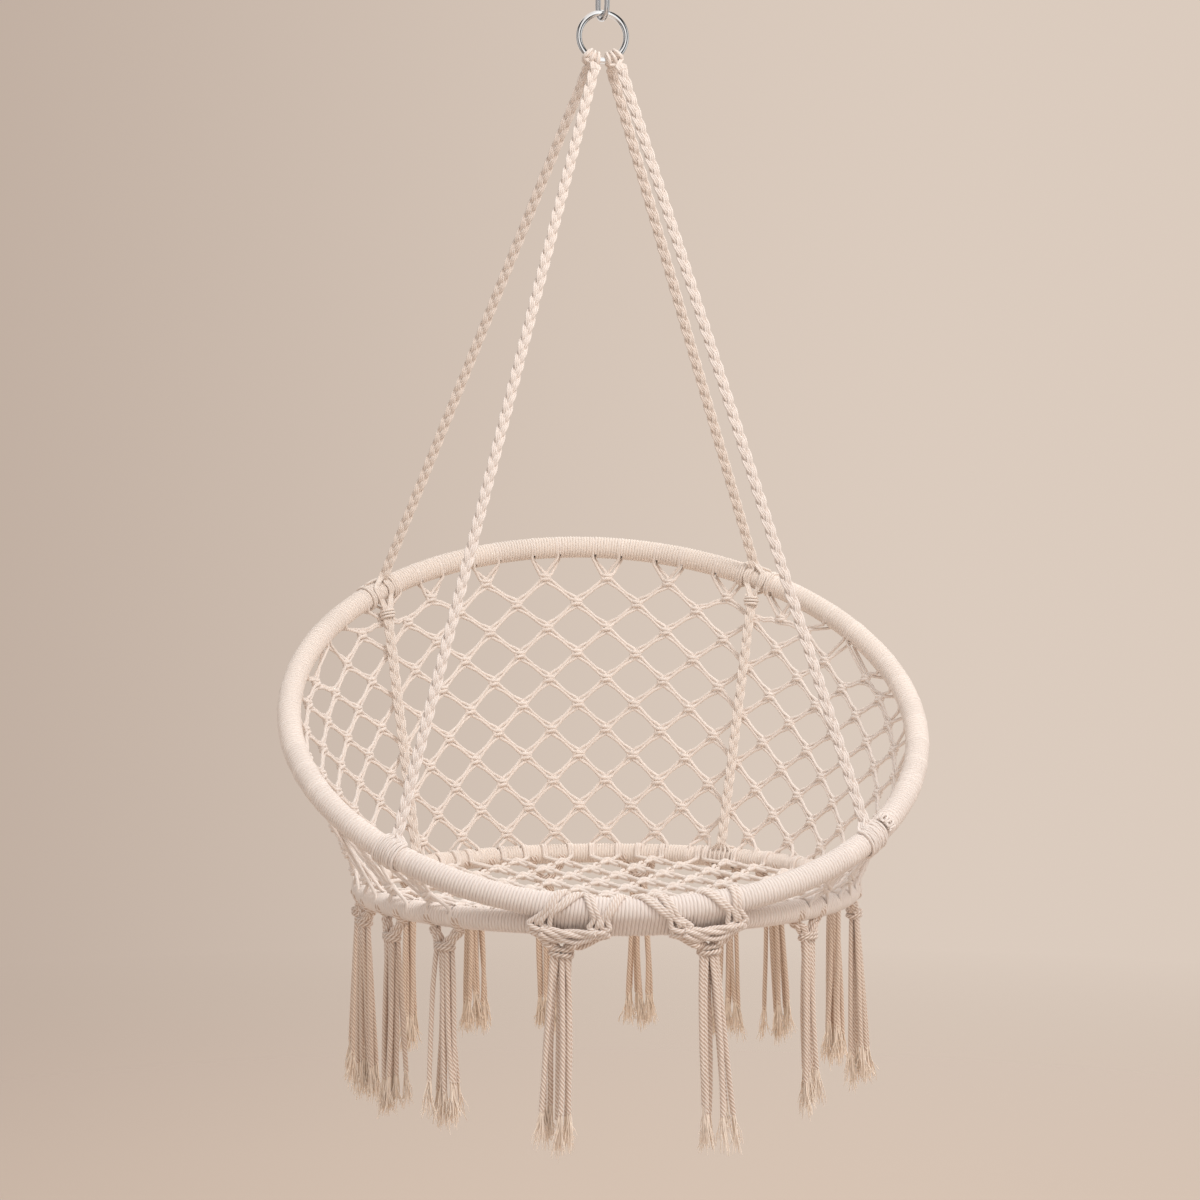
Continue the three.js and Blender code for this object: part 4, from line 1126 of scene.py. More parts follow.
@dataclass
class BackNet:
    """The knotted net between the hoop and the seat ring, each cord whole from end to end.

    Fields:
        rope_share: How far aside a top strap ends, in columns, where it makes room for a rope.
        top_share: The same in the first row.
        end_share: The same at the net's front ends.
        rise_share: The same elsewhere.
        foot_share: How far aside a bottom strap ends.
        hitch_aside: Half the distance between a strap's two hitches.
        hitch_turns: The first and last turn of a hitch round a tube, and the step between its points.
    """

    layout: NetLayout = field(default_factory=NetLayout)
    cord_radius: float = 0.0021
    rope_share: float = 0.72
    top_share: float = 0.42
    end_share: float = 0.7
    rise_share: float = 0.9
    foot_share: float = 0.5
    hitch_reach: float = 0.0022
    hitch_aside: float = 0.0019
    hitch_lift: float = 0.004
    hitch_lead: float = 0.35
    hitch_turns: tuple = (0.9, 5.6, 0.52)
    knot_fullness: float = 0.45
    heads: list = field(default_factory=list)
    feet: list = field(default_factory=list)
    centres: np.ndarray | None = None

    def head_angle(self, column: int, row: int, way: int) -> float:
        """Returns where on the hoop a strap of a top knot ends.

        Args:
            column: The knot's column.
            row: The knot's row.
            way: -1 for its left strap and 1 for its right one.
        """
        angle = column * COLUMN_ANGLE
        if any(abs(rope - angle) < COLUMN_ANGLE / 2 for rope in ROPE_ANGLES.values()):
            share = self.rope_share
        elif row == 1:
            share = self.top_share
        else:
            share = self.end_share if row == self.layout.rows else self.rise_share
        return (column + way * share) * COLUMN_ANGLE

    def foot_angle(self, column: int, way: int) -> float:
        """Returns where on the seat ring a strap of a bottom knot ends."""
        return beside_ties((column + way * self.foot_share) * COLUMN_ANGLE)

    def hitch(self, rail: Rail, angle: float, lane: int, source: np.ndarray) -> list[np.ndarray]:
        """Returns a cord's way round a tube, in the gap that the winding leaves.

        Args:
            rail: The tube.
            angle: Where on it the strap ends.
            lane: 0 or 1, the cord's place in the strap.
            source: Where the strap comes from.
        """
        sign = 1 if lane else -1
        start = rail.turn_towards(angle, source)
        reach = rail.tube_radius + self.hitch_reach
        aside = sign * self.hitch_aside
        first = rail.around(angle, start + sign * self.hitch_lead, reach + self.hitch_lift, aside)
        turns = [rail.around(angle, start + sign * t, reach, aside) for t in np.arange(*self.hitch_turns)]
        return [first, *turns]

    def strands(self) -> list[list[np.ndarray]]:
        """Returns the way of every cord, from the hoop down to the seat ring."""
        layout = self.layout
        last = max(layout.lone_columns)
        knots = {
            (c, r): layout.knot(c, r)
            for c in range(-last, last + 1)
            for r in range(1, layout.rows + 1)
            if layout.has(c, r)
        }
        self.centres = np.array([knot.centre for knot in knots.values()])
        found = []
        for (column, row), knot in knots.items():
            for way in (-1, 1):
                if (column + way, row - 1) in knots:
                    continue
                angle = self.head_angle(column, row, way)
                self.heads.append(angle)
                for lane, role in enumerate(["left", "left_core"] if way < 0 else ["right_core", "right"]):
                    head = self.hitch(HOOP, angle, lane, knot.centre)[::-1]
                    found.append(head + self.descend(knots, column, row, role))
        return found

    def descend(self, knots: dict, column: int, row: int, role: str) -> list[np.ndarray]:
        """Follows one cord from a knot down to the seat ring.

        Args:
            knots: The net's knots by column and row.
            column: The first knot's column.
            row: The first knot's row.
            role: The cord's part in that knot.

        Returns:
            The cord's points.
        """
        points = []
        while True:
            knot = knots[column, row]
            points += knot.path(role)
            way = -1 if role.startswith("left") else 1
            inner = role.endswith("core")
            below = (column + way, row + 1)
            if below not in knots:
                angle = self.foot_angle(column, way)
                self.feet.append(angle)
                lane = int(inner) if way < 0 else int(not inner)
                return points + self.hitch(SEAT, angle, lane, knot.centre)
            target = knots[below]
            enters = "right" if way < 0 else "left"
            side = 1 if (way < 0) != inner else -1
            across = unit(np.cross(target.centre - knot.centre, knot.face))
            for share in STRAP_SHARES:
                place = knot.centre + (target.centre - knot.centre) * share
                points.append(place + across * side * self.cord_radius * 0.75)
            column, row = below
            role = enters if inner else enters + "_core"

    def build(self, shop: Workshop) -> None:
        """Builds the net.

        Args:
            shop: The workshop.
        """
        lines = Lines(5)
        for points in self.strands():
            way = smooth(points, 0.012)
            lines.add(way, self.cord_radius * fuller(way, self.centres, self.knot_fullness))
        nodes = [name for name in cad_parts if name.startswith(("back_net_", "side_knot_"))]
        shop.make("back_net_cords", lines, Slot.NET, nodes, NET_SECTION)


@dataclass
class SeatNet:
    """The diamond net that sags a little inside the seat ring.

    Fields:
        margin: The room kept between the outer knots and the seat ring.
        anchor_share: How far a strap to the seat ring turns towards its next place in the net.
        stacked: Half the height between a strap's two cords.
        lashed_half: Half the stretch of the seat ring where the lashing leaves no room for hitches.
        lashed_hook: The last points of a cord there, as turn about the tube and reach.
        hitch: A cord's points round the seat ring elsewhere.
    """

    column_pitch: float = 0.030
    row_pitch: float = 0.048
    columns: int = 10
    rows: int = 7
    sag: float = 0.012
    margin: float = 0.015
    anchor_share: float = 0.6
    cord_radius: float = 0.0024
    knot_size: float = 0.95
    knot_fullness: float = 0.15
    stacked: float = 0.0015
    hitch_aside: float = 0.0018
    lashed_half: float = math.radians(24)
    lashed_hook: tuple = ((0.5, 0.019), (0.2, 0.0145))
    hitch: tuple = ((0.15, 0.0155), (-0.5, 0.0148), (-1.1, 0.0143), (-1.6, 0.0118))

    def place(self, column: int, row: int) -> np.ndarray:
        """Returns a knot's place from the seat's centre.

        Args:
            column: The knot's column.
            row: The knot's row.
        """
        x, y = column * self.column_pitch, row * self.row_pitch
        share = min(math.hypot(x, y) / (SEAT.radius - SEAT.wound_radius), 1)
        return np.array([x, y, -self.sag * (1 - share**2)])

    def has(self, column: int, row: int) -> bool:
        """Returns whether the net has a knot there.

        Args:
            column: The knot's column.
            row: The knot's row.
        """
        x, y, _ = self.place(column, row)
        inside = math.hypot(x, y) < SEAT.radius - SEAT.wound_radius - self.margin
        return inside and (column + row) % 2 == 0

    def build(self, shop: Workshop) -> None:
        """Builds the net; each strap is two cords between neighbouring knots.

        Args:
            shop: The workshop.
        """
        knots = {
            (c, r): Knot(SEAT_CENTRE + self.place(c, r), RIGHT, BACK, self.knot_size)
            for c in range(-self.columns, self.columns + 1)
            for r in range(-self.rows, self.rows + 1)
            if self.has(c, r)
        }
        lines = Lines(9)
        for place, knot in knots.items():
            for role in ("left", "left_core", "right_core", "right"):
                head, foot = (self.tail(knots, place, lift, role) for lift in (1, -1))
                way = smooth([*head[::-1], *knot.path(role), *foot], 0.014)
                lines.add(way, self.cord_radius * fuller(way, knot.centre[None], self.knot_fullness))
        shop.make("seat_net_cords", lines, Slot.NET, ["seat_net"], NET_SECTION)

    def tail(self, knots: dict, place: tuple[int, int], lift: int, role: str) -> list[np.ndarray]:
        """Returns a cord's points from a knot to the middle of its strap, or to the seat ring.

        Args:
            knots: The net's knots by column and row.
            place: The knot's column and row.
            lift: 1 for the strap towards the back and -1 for the one towards the front.
            role: The cord's part in the knot.
        """
        (column, row), knot = place, knots[place]
        way = -1 if role.startswith("left") else 1
        inner = role.endswith("core")
        other = knots.get((column + way, row + lift))
        if other is not None:
            span = other.centre - knot.centre
            lane = -way * (1 if inner else -1)
            beside = UP * lane * self.stacked - np.cross(unit(span), UP) * lane * self.cord_radius
            return [knot.centre + span * share + beside for share in (STRAP_SHARES[0], 0.5)]
        angle = self.anchor(knot.centre, column + way, row + lift)
        if abs(abs(angle) - math.pi) < self.lashed_half:
            return [SEAT.around(angle, math.pi + turn, reach) for turn, reach in self.lashed_hook]
        aside = self.hitch_aside if inner else -self.hitch_aside
        return [SEAT.around(angle, math.pi + turn, reach, aside) for turn, reach in self.hitch]

    def anchor(self, centre: np.ndarray, column: int, row: int) -> float:
        """Returns where on the seat ring a strap ends.

        Args:
            centre: The strap's last knot.
            column: The column of the place that it runs towards.
            row: The row of that place.
        """
        here = math.atan2(centre[0] - SEAT_CENTRE[0], centre[1] - SEAT_CENTRE[1])
        target = SEAT_CENTRE + np.array([column * self.column_pitch, row * self.row_pitch, 0.0])
        there = math.atan2(target[0] - SEAT_CENTRE[0], target[1] - SEAT_CENTRE[1])
        turn = (there - here + math.pi) % FULL_TURN - math.pi
        return beside_ties(here + self.anchor_share * turn)


@dataclass
class WoundRails:
    """Fine cord wound round the hoop and the seat ring, and round both where they touch."""

    cord_radius: float = 0.00208
    pitch: float = 0.00385
    gap_half: float = 0.0016
    slack: float = 0.00003
    sides: int = 8
    hoop_end: float = math.radians(163.6)
    seat_end: float = math.radians(158.5)
    lashing_cord_radius: float = 0.0023
    lashing_pitch: float = 0.0041
    lashing_points: int = 14
    lashing_spread: float = math.radians(78)

    def sections(self, end: float, cuts: Sequence[float], rail: Rail) -> Lines:
        """Returns a tube's middle line in the stretches between the net's hitches.

        Args:
            end: The winding's last angle on either side.
            cuts: The angles of the hitches.
            rail: The tube.
        """
        room = self.gap_half / rail.radius
        marks = [-end]
        for cut in sorted(cuts):
            if -end + room < cut < end - room and cut - room > marks[-1]:
                marks += [cut - room, cut + room]
        marks.append(end)
        lines = Lines(11)
        for first, last in zip(marks[::2], marks[1::2]):
            if last - first < self.pitch / rail.radius:
                continue
            count = max(3, math.ceil((last - first) / math.radians(1)))
            lines.add(np.array([rail.point(a) for a in np.linspace(first, last, count)]))
        return lines

    def build(self, shop: Workshop, heads: Sequence[float], feet: Sequence[float]) -> None:
        """Builds both windings and the lashing.

        Args:
            shop: The workshop.
            heads: The angles of the net's hitches on the hoop.
            feet: The same on the seat ring.
        """
        rows = [
            ("hoop_winding", "hoop_wrap", HOOP, self.hoop_end, heads),
            ("seat_ring_winding", "seat_ring_wrap", SEAT, self.seat_end, feet),
        ]
        for name, node, rail, end, cuts in rows:
            values = {
                "Axis": tuple(rail.normal),
                "Pitch": self.pitch,
                "Winding Radius": rail.tube_radius + self.cord_radius + 0.0001,
                "Cord Radius": self.cord_radius,
                "Slack": self.slack,
                "Sides": self.sides,
            }
            shop.make(name, self.sections(end, cuts, rail), Slot.WRAP, [node], values, shop.winding)
        self.build_lashing(shop)

    def build_lashing(self, shop: Workshop) -> None:
        """Winds one cord round both tubes at the front.

        Args:
            shop: The workshop.
        """
        radius, half_turn = self.lashing_cord_radius, self.lashing_points // 2
        turns = int(2 * HOOP.radius * LASHED_HALF_ANGLE / self.lashing_pitch)
        count = turns * self.lashing_points
        points = []
        for i in range(count):
            number, step = divmod(i, self.lashing_points)
            on_hoop = step < half_turn
            share = (step % half_turn) / (half_turn - 1)
            turn = -self.lashing_spread + 2 * self.lashing_spread * share + (0 if on_hoop else math.pi)
            face = LashedFace(math.pi + LASHED_HALF_ANGLE * (2 * (i / count) - 1))
            centre, rail = (face.hoop, HOOP) if on_hoop else (face.seat, SEAT)
            reach = rail.tube_radius + radius + 0.0004 + 0.0003 * math.sin(number * 1.7)
            points.append(centre + reach * (math.cos(turn) * face.between + math.sin(turn) * face.normal))
        lines = Lines(2)
        lines.add(smooth(points, 0.006), radius)
        values = {"Sides": self.sides, "Ply Depth": 0.01}
        shop.make("front_lashing_winding", lines, Slot.WRAP, ["front_lashing"], values)


class LashedFace:
    """Where the hoop and the seat ring lie side by side at the front."""

    def __init__(self, angle: float) -> None:
        """Finds both tubes at one angle of the hoop.

        Args:
            angle: The angle on the hoop.
        """
        self.hoop = HOOP.point(angle)
        reach = (self.hoop[0] - SEAT_CENTRE[0]) / SEAT.radius
        self.seat = SEAT.point(math.pi - math.asin(reach))
        self.side = HOOP.along(angle)
        self.between = across_to(self.hoop - self.seat, self.side)
        self.normal = unit(np.cross(self.between, self.side))

    @property
    def rightward(self) -> np.ndarray:
        """Returns the direction along the hoop that points to the right."""
        return -self.side if self.side[0] < 0 else self.side

    @property
    def front(self) -> np.ndarray:
        """Returns the middle between the fronts of both wound tubes."""
        low = self.seat + SEAT.wound_radius * self.normal
        return (low + self.hoop + HOOP.wound_radius * self.normal) / 2

    def over(self, turn: float, reach: float) -> np.ndarray:
        """Returns a point beside the hoop, 0 up away from the seat ring and a quarter turn to the front."""
        return self.hoop + reach * (math.cos(turn) * self.between + math.sin(turn) * self.normal)


def coil(
    centre: np.ndarray, axis: np.ndarray, wide: np.ndarray, half: tuple, turns: float, rise: float
) -> np.ndarray:
    """Returns a flattened coil.

    Args:
        centre: Its middle.
        axis: The unit direction that it rises in.
        wide: The unit direction of its larger half size.
        half: Its larger and smaller half sizes.
        turns: How many turns it has.
        rise: Its rise in one turn.
    """
    deep = np.cross(axis, wide)
    rows = []
    for turn in np.linspace(0, FULL_TURN * turns, int(16 * turns) + 1):
        lift = (turn / FULL_TURN - turns / 2) * rise
        rows.append(centre + half[0] * math.cos(turn) * wide + half[1] * math.sin(turn) * deep + lift * axis)
    return np.array(rows)


@dataclass
class Suspension:
    """The braided ropes, their loops over the ring and the ties at their ends.

    Fields:
        loop_angle: Where on the ring a bundle hangs, from straight down.
        start_places: Each rope's start beside and behind the ring's centre.
        loop_order: The strands from left to right where they lie on the ring.
        loop_turns_deg: The directions about the ring's wire of a loop cord's points.
        back_places: The back tie's cords along the hoop, from left to right.
        back_outer: Which of those cords pass the hoop on its outer side.
        back_shares: The first and last share of a cord's way round the tube, and how many points it has.
        back_marks: Where the two bindings beside a back tie lie.
        back_lead: How far above its rope's start a cord leaves a back tie.
        gather_coils: Each coil's half sizes, turns, rise in a turn and cord radius.
        wrap_turns: The first and last turn of a front tie's cords, and the step between their points.
        seat_tie_turns: The same of the seat ties.
    """

    loop_angle: float = math.radians(26.5)
    start_drop: float = 0.0367
    start_places: dict = field(
        default_factory=lambda: {
            "front_left": (-0.0100, -0.0095),
            "back_left": (-0.0172, 0.0095),
            "back_right": (0.0116, 0.0095),
            "front_right": (0.0208, -0.0095),
        }
    )
    end_reach: float = 0.0215
    loop_order: tuple = (2, 0, 1)
    loop_strand_pitch: float = 0.0068
    loop_cord_pitch: float = 0.0016
    loop_reach: float = 0.0056
    loop_crest: float = 0.0028
    loop_flare: float = 0.0012
    loop_turns_deg: tuple = (-52, -15, 25, 60, 90, 120, 155, 195, 232)
    loop_cord_radius: float = 0.0019
    tie_cord_radius: float = 0.0017
    tie_step: float = 0.004
    wrap_reach: float = 0.0162
    wrap_pitch: float = 0.0034
    wrap_turns: tuple = (0.25, 5.6, 0.45)
    wrap_slant: float = 0.0016
    wrap_wander: float = 0.0006
    bump_aside: float = 0.023
    bump_turn: float = 1.2
    bump_pitch: float = 0.42
    bump_reach: float = 0.0178
    bump_size: float = 0.95
    bump_cord_radius: float = 0.0016
    back_places: tuple = (-0.0150, -0.0116, -0.0082, -0.0116, 0.0, 0.0116, 0.0082, 0.0116, 0.0150)
    back_outer: tuple = (3, 4, 5)
    back_shares: tuple = (0.16, 0.82, 6)
    back_marks: tuple = (-0.0190, 0.0190)
    back_mark_pitch: float = 0.0036
    back_lead: float = 0.013
    lower_inset: float = 0.0125
    lower_foot: float = 0.0185
    gather_drop: float = 0.0205
    gather_height: float = 0.020
    gather_coils: tuple = (
        ((0.0078, 0.0066), 3.5, 0.0040, 0.00185),
        ((0.0092, 0.0080), 1.4, 0.0030, 0.0016),
    )
    seat_tie_pitch: float = 0.0036
    seat_tie_reach: float = 0.0148
    seat_tie_turns: tuple = (0.3, 4.9, 0.46)

    def rope(self, name: str) -> RopeRun:
        """Returns one of the four long ropes, from the ring down to the hoop.

        Args:
            name: The rope's name in ROPE_ANGLES.
        """
        aside, behind = self.start_places[name]
        start = RING_CENTRE + aside * RIGHT + behind * BACK - self.start_drop * UP
        tube = HOOP.point(ROPE_ANGLES[name])
        return RopeRun(start, tube + self.end_reach * unit(start - tube))

    def lower(self, side: str) -> RopeRun:
        """Returns one of the two lower ropes, from its gather knot down to the seat ring.

        Args:
            side: "left" or "right".
        """
        foot = LOWER_FEET[side]
        start, end = SEAT.point(foot), HOOP.point(ROPE_ANGLES["back_" + side])
        up = unit(end - start)
        inward = np.cross(up, SEAT.along(foot))
        inward = unit(inward * -math.copysign(1, float(inward @ SEAT.outward(foot))))
        length = float(np.linalg.norm(end - start))
        top = length - self.gather_drop - self.gather_height
        ends = (start + up * height + inward * self.lower_inset for height in (top, self.lower_foot))
        return RopeRun(*ends)

    def tie(self, shop: Workshop, node: str, lines: Lines, sides: int = 7, ending: str = "cords") -> None:
        """Makes one bundle of cords in place of a frame node.

        Args:
            shop: The workshop.
            node: The frame's node.
            lines: The cords' lines.
            sides: The sides of a cord's section.
            ending: What the piece's name adds to the node's.
        """
        shop.make(f"{node}_{ending}", lines, Slot.ROPE, [node], {"Sides": sides})

    def over_ring(self, side: str, number: int) -> list[np.ndarray]:
        """Returns a cord's way over the ring, the middle cord of each strand on top.

        Args:
            side: "left" or "right".
            number: The cord's number.
        """
        strand, lane = divmod(number, STRAND_CORDS)
        slot = self.loop_order.index(strand) - 1
        aside = slot * self.loop_strand_pitch + (lane - 1) * self.loop_cord_pitch
        reach = self.loop_reach + (self.loop_crest if lane == 1 else 0.0)
        angle = (-self.loop_angle if side == "left" else self.loop_angle) + aside / RING_RADIUS
        down = math.sin(angle) * RIGHT - math.cos(angle) * UP
        wire = RING_CENTRE + RING_RADIUS * down
        points = []
        for turn in np.radians(self.loop_turns_deg):
            flare = self.loop_flare * (turn < 0 or turn > math.pi)
            points.append(wire + (reach + flare) * (-math.cos(turn) * BACK - math.sin(turn) * down))
        return points

    def loop(self, shop: Workshop, side: str) -> None:
        """Builds the nine cords that fold over the ring from the front rope to the back one.

        Args:
            shop: The workshop.
            side: "left" or "right".
        """
        front, back = self.rope("front_" + side), self.rope("back_" + side)
        lines = Lines(21)
        for number in range(ROPE_CORDS):
            path = [front.cord_at(number, CORD_TUCK), front.cord_at(number, 0.0)]
            path += self.over_ring(side, number)
            path += [back.cord_at(number, 0.0), back.cord_at(number, CORD_TUCK)]
            lines.add(smooth(path, 0.003), self.loop_cord_radius)
        self.tie(shop, f"rope_loop_{side}", lines, 8)

    def front_tie(self, shop: Workshop, name: str) -> None:
        """Wraps a front rope's cords side by side round the hoop.

        Args:
            shop: The workshop.
            name: The rope's name in ROPE_ANGLES.
        """
        rope, angle = self.rope(name), ROPE_ANGLES[name]
        start = HOOP.turn_towards(angle, rope.start)
        lines = Lines(31)
        for place, (number, path) in enumerate(rope.ends_along(HOOP.along(angle))):
            aside = (place - 4) * self.wrap_pitch
            for i, turn in enumerate(np.arange(*self.wrap_turns)):
                slant = aside + self.wrap_slant * math.sin(turn * 0.6)
                reach = self.wrap_reach + self.wrap_wander * math.sin(i + number)
                path.append(HOOP.around(angle, start - turn, reach, slant))
            lines.add(smooth(path, self.tie_step), self.tie_cord_radius)
        if name == "front_right":
            self.bump_knot(lines, angle - self.bump_aside / HOOP.radius, start - self.bump_turn)
        self.tie(shop, "tie_" + name, lines)

    def bump_knot(self, lines: Lines, angle: float, turn: float) -> None:
        """Adds the small woven knot that lies on the hoop beside the right front tie.

        Args:
            lines: The tie's lines.
            angle: The knot's angle on the hoop.
            turn: The direction about the hoop's tube of its middle.
        """
        across = HOOP.along(angle)
        for i in range(3):
            here = turn - self.bump_pitch * (i - 1)
            out = math.cos(here) * HOOP.outward(angle) + math.sin(here) * HOOP.normal
            centre = HOOP.around(angle, here, self.bump_reach)
            knot = Knot(centre, across, unit(np.cross(out, across)), self.bump_size)
            for role in ("left", "right"):
                lines.add(smooth(knot.path(role), 0.003), self.bump_cord_radius)

    def back_tie(self, shop: Workshop, side: str) -> None:
        """Parts a back rope's cords over the hoop and brings them together under it.

        Args:
            shop: The workshop.
            side: "left" or "right".
        """
        name = "back_" + side
        rope, lower, angle = self.rope(name), self.lower(side), ROPE_ANGLES[name]
        start = HOOP.turn_towards(angle, rope.start)
        below = HOOP.turn_towards(angle, lower.start - lower.way * self.gather_height)
        lines = Lines(41)
        for place, (number, path) in enumerate(rope.ends_along(HOOP.along(angle))):
            sign = -1 if place in self.back_outer else 1
            sweep = (below - start) * sign % FULL_TURN
            for share in np.linspace(*self.back_shares):
                spread = self.back_places[place] * math.sin(math.pi * (0.2 + 0.62 * share))
                path.append(HOOP.around(angle, start + sign * sweep * share, self.wrap_reach, spread))
            path += [lower.cord_at(number, length) for length in (-self.back_lead, 0.0, CORD_TUCK)]
            lines.add(smooth(path, self.tie_step), self.tie_cord_radius)
        reach = self.wrap_reach - 0.0002
        for mark in self.back_marks:
            for i in range(2):
                aside = mark + math.copysign(self.back_mark_pitch, mark) * i
                turns = np.linspace(0, FULL_TURN, 20)
                rows = [HOOP.around(angle, start + turn, reach, aside) for turn in turns]
                lines.add(np.array(rows), self.tie_cord_radius)
        self.tie(shop, "tie_" + name, lines)

    def gather(self, shop: Workshop, side: str) -> None:
        """Winds a few turns round the cords just below the hoop.

        Args:
            shop: The workshop.
            side: "left" or "right".
        """
        lower = self.lower(side)
        centre = lower.start - lower.way * self.gather_height * 0.45
        lines = Lines(51)
        for half, turns, rise, radius in self.gather_coils:
            lines.add(coil(centre, lower.way, lower.wide, half, turns, rise), radius)
        self.tie(shop, f"gather_knot_{side}", lines, 8, "coil")

    def seat_tie(self, shop: Workshop, side: str) -> None:
        """Fans a lower rope's cords out over the seat ring.

        Args:
            shop: The workshop.
            side: "left" or "right".
        """
        lower, angle = self.lower(side), LOWER_FEET[side]
        start = SEAT.turn_towards(angle, lower.end)
        lines = Lines(61)
        for place, (_, path) in enumerate(lower.ends_along(SEAT.along(angle))):
            aside = (place - 4) * self.seat_tie_pitch
            sign = -1 if place % 2 else 1
            for turn in np.arange(*self.seat_tie_turns):
                path.append(SEAT.around(angle, start + sign * turn, self.seat_tie_reach, aside))
            lines.add(smooth(path, self.tie_step), self.tie_cord_radius)
        self.tie(shop, f"seat_tie_{side}", lines)

    def build(self, shop: Workshop) -> None:
        """Builds every rope, loop and tie."""
        for name in ROPE_ANGLES:
            self.rope(name).build(shop, f"rope_{name}")
        for side in LOWER_FEET:
            self.lower(side).build(shop, f"lower_rope_{side}")
            self.loop(shop, side)
            self.front_tie(shop, "front_" + side)
            self.back_tie(shop, side)
            self.gather(shop, side)
            self.seat_tie(shop, side)


@dataclass
class Tassel:
    """Eight twisted cords that hang from a gather knot, with frayed ends.

    Fields:
        name: The piece's name.
        node: The frame's node that it replaces.
        knot: The middle of the gather knot.
        across: The direction of the tassel's width.
        foot_height: The height at which the frayed ends stop.
        seed: What the cords' chance values start from.
        knot_pitch: The distance between neighbouring cords at the knot.
        foot_pitch: The same at their lower ends.
        looseness: How far below the knot a cord strays from its row.
        shares: The places along the cords where their points lie.
        lean: How widely the tassel's lower end strays aside and in depth.
        wander: How widely each cord's lower end strays from the tassel's.
        uneven: How much shorter and longer than the rest a cord may be.
    """

    name: str
    node: str
    knot: np.ndarray
    across: np.ndarray
    foot_height: float
    seed: int
    cord_radius: float = 0.0028
    knot_pitch: float = 0.0049
    foot_pitch: float = 0.0080
    looseness: float = 2.1
    fray_length: float = 0.036
    shares: tuple = (0.08, 0.3, 0.6, 0.85, 1.0)
    lean: tuple = (0.004, 0.003)
    wander: tuple = (0.0026, 0.0022)
    uneven: tuple = (-0.012, 0.008)
    bow: float = 0.0026
    ripple: float = 0.0010
    wrap_rise: float = 0.0026
    wrap_pitch: float = 0.0022

    def offset(self, number: int, pitch: float) -> np.ndarray:
        """Returns a cord's place beside the tassel's middle, in two rows at the knot and loose below it.

        Args:
            number: The cord's number.
            pitch: The distance between neighbouring cords.
        """
        row, column = divmod(number, 4)
        deep = np.cross(self.across, UP)
        stagger = 0.25 if row else -0.25
        loose = (pitch - self.knot_pitch) * self.looseness * math.sin(2.6 * number + self.seed)
        depth = (0.5 - row) * pitch * 1.1 + loose
        return self.across * (column - 1.5 + stagger) * pitch + deep * depth

    def hang(self, number: int, length: float, drift: np.ndarray) -> list[np.ndarray]:
        """Returns a cord's points below the knot.

        Args:
            number: The cord's number.
            length: Its length.
            drift: How far aside its lower end lies.
        """
        points = []
        for share in self.shares:
            pitch = self.knot_pitch + (self.foot_pitch - self.knot_pitch) * share**0.8
            bow = math.sin(math.pi * share) * self.bow * math.sin(number * 2.1 + self.seed)
            bow += math.sin(5.0 * share + number * 1.3 + self.seed) * self.ripple * share
            middle = self.knot - UP * length * share
            points.append(middle + self.offset(number, pitch) + drift * share + self.across * bow)
        return points

    def build(self, shop: Workshop, arrivals: Sequence[Sequence[np.ndarray]]) -> None:
        """Builds the tassel.

        Args:
            shop: The workshop.
            arrivals: For each cord, the points by which it reaches the knot.
        """
        random = np.random.default_rng(self.seed)
        cords, ends = Lines(self.seed), Lines(self.seed + 1)
        drop = self.knot[2] - self.foot_height - self.fray_length
        lean = np.array([*(random.normal(0, width) for width in self.lean), 0.0])
        for number, arrival in enumerate(arrivals):
            wander = np.array([*(random.normal(0, width) for width in self.wander), 0.0])
            length = drop + random.uniform(*self.uneven)
            path = [*arrival, self.knot + self.offset(number, self.knot_pitch)]
            path += self.hang(number, length, wander + lean)
            cords.add(smooth(path, 0.0018), self.cord_radius)
            way = unit(path[-1] - path[-2])
            fray = [path[-1] + way * self.fray_length * t for t in np.linspace(-0.10, 1, 7)]
            ends.add(np.array(fray), 0.0, end=float(number + 8 * self.seed))
        half = (self.knot_pitch * 2.0 + 0.0016, self.knot_pitch + 0.0026)
        for side in (1, -1):
            middle = self.knot + UP * self.wrap_rise * side
            wrap = coil(middle, UP, self.across, half, 1.05, self.wrap_pitch * side)
            cords.add(wrap, self.cord_radius + 0.0002)
        twisted = shop.shape(self.name, cords, Slot.TASSEL, {**TWISTED_SECTION, "Ply Depth": 0.13})
        values = {"Sides": 3, "Seed": self.seed, "Marked Plies": 0.0, "Finish": shop.yarn_finish}
        yarn = shop.shape(self.name + "_yarn", ends, Slot.TASSEL, values, shop.fray)
        shop.place(shop.join([twisted, yarn]), Slot.TASSEL, Body.CHAIR, [self.node])


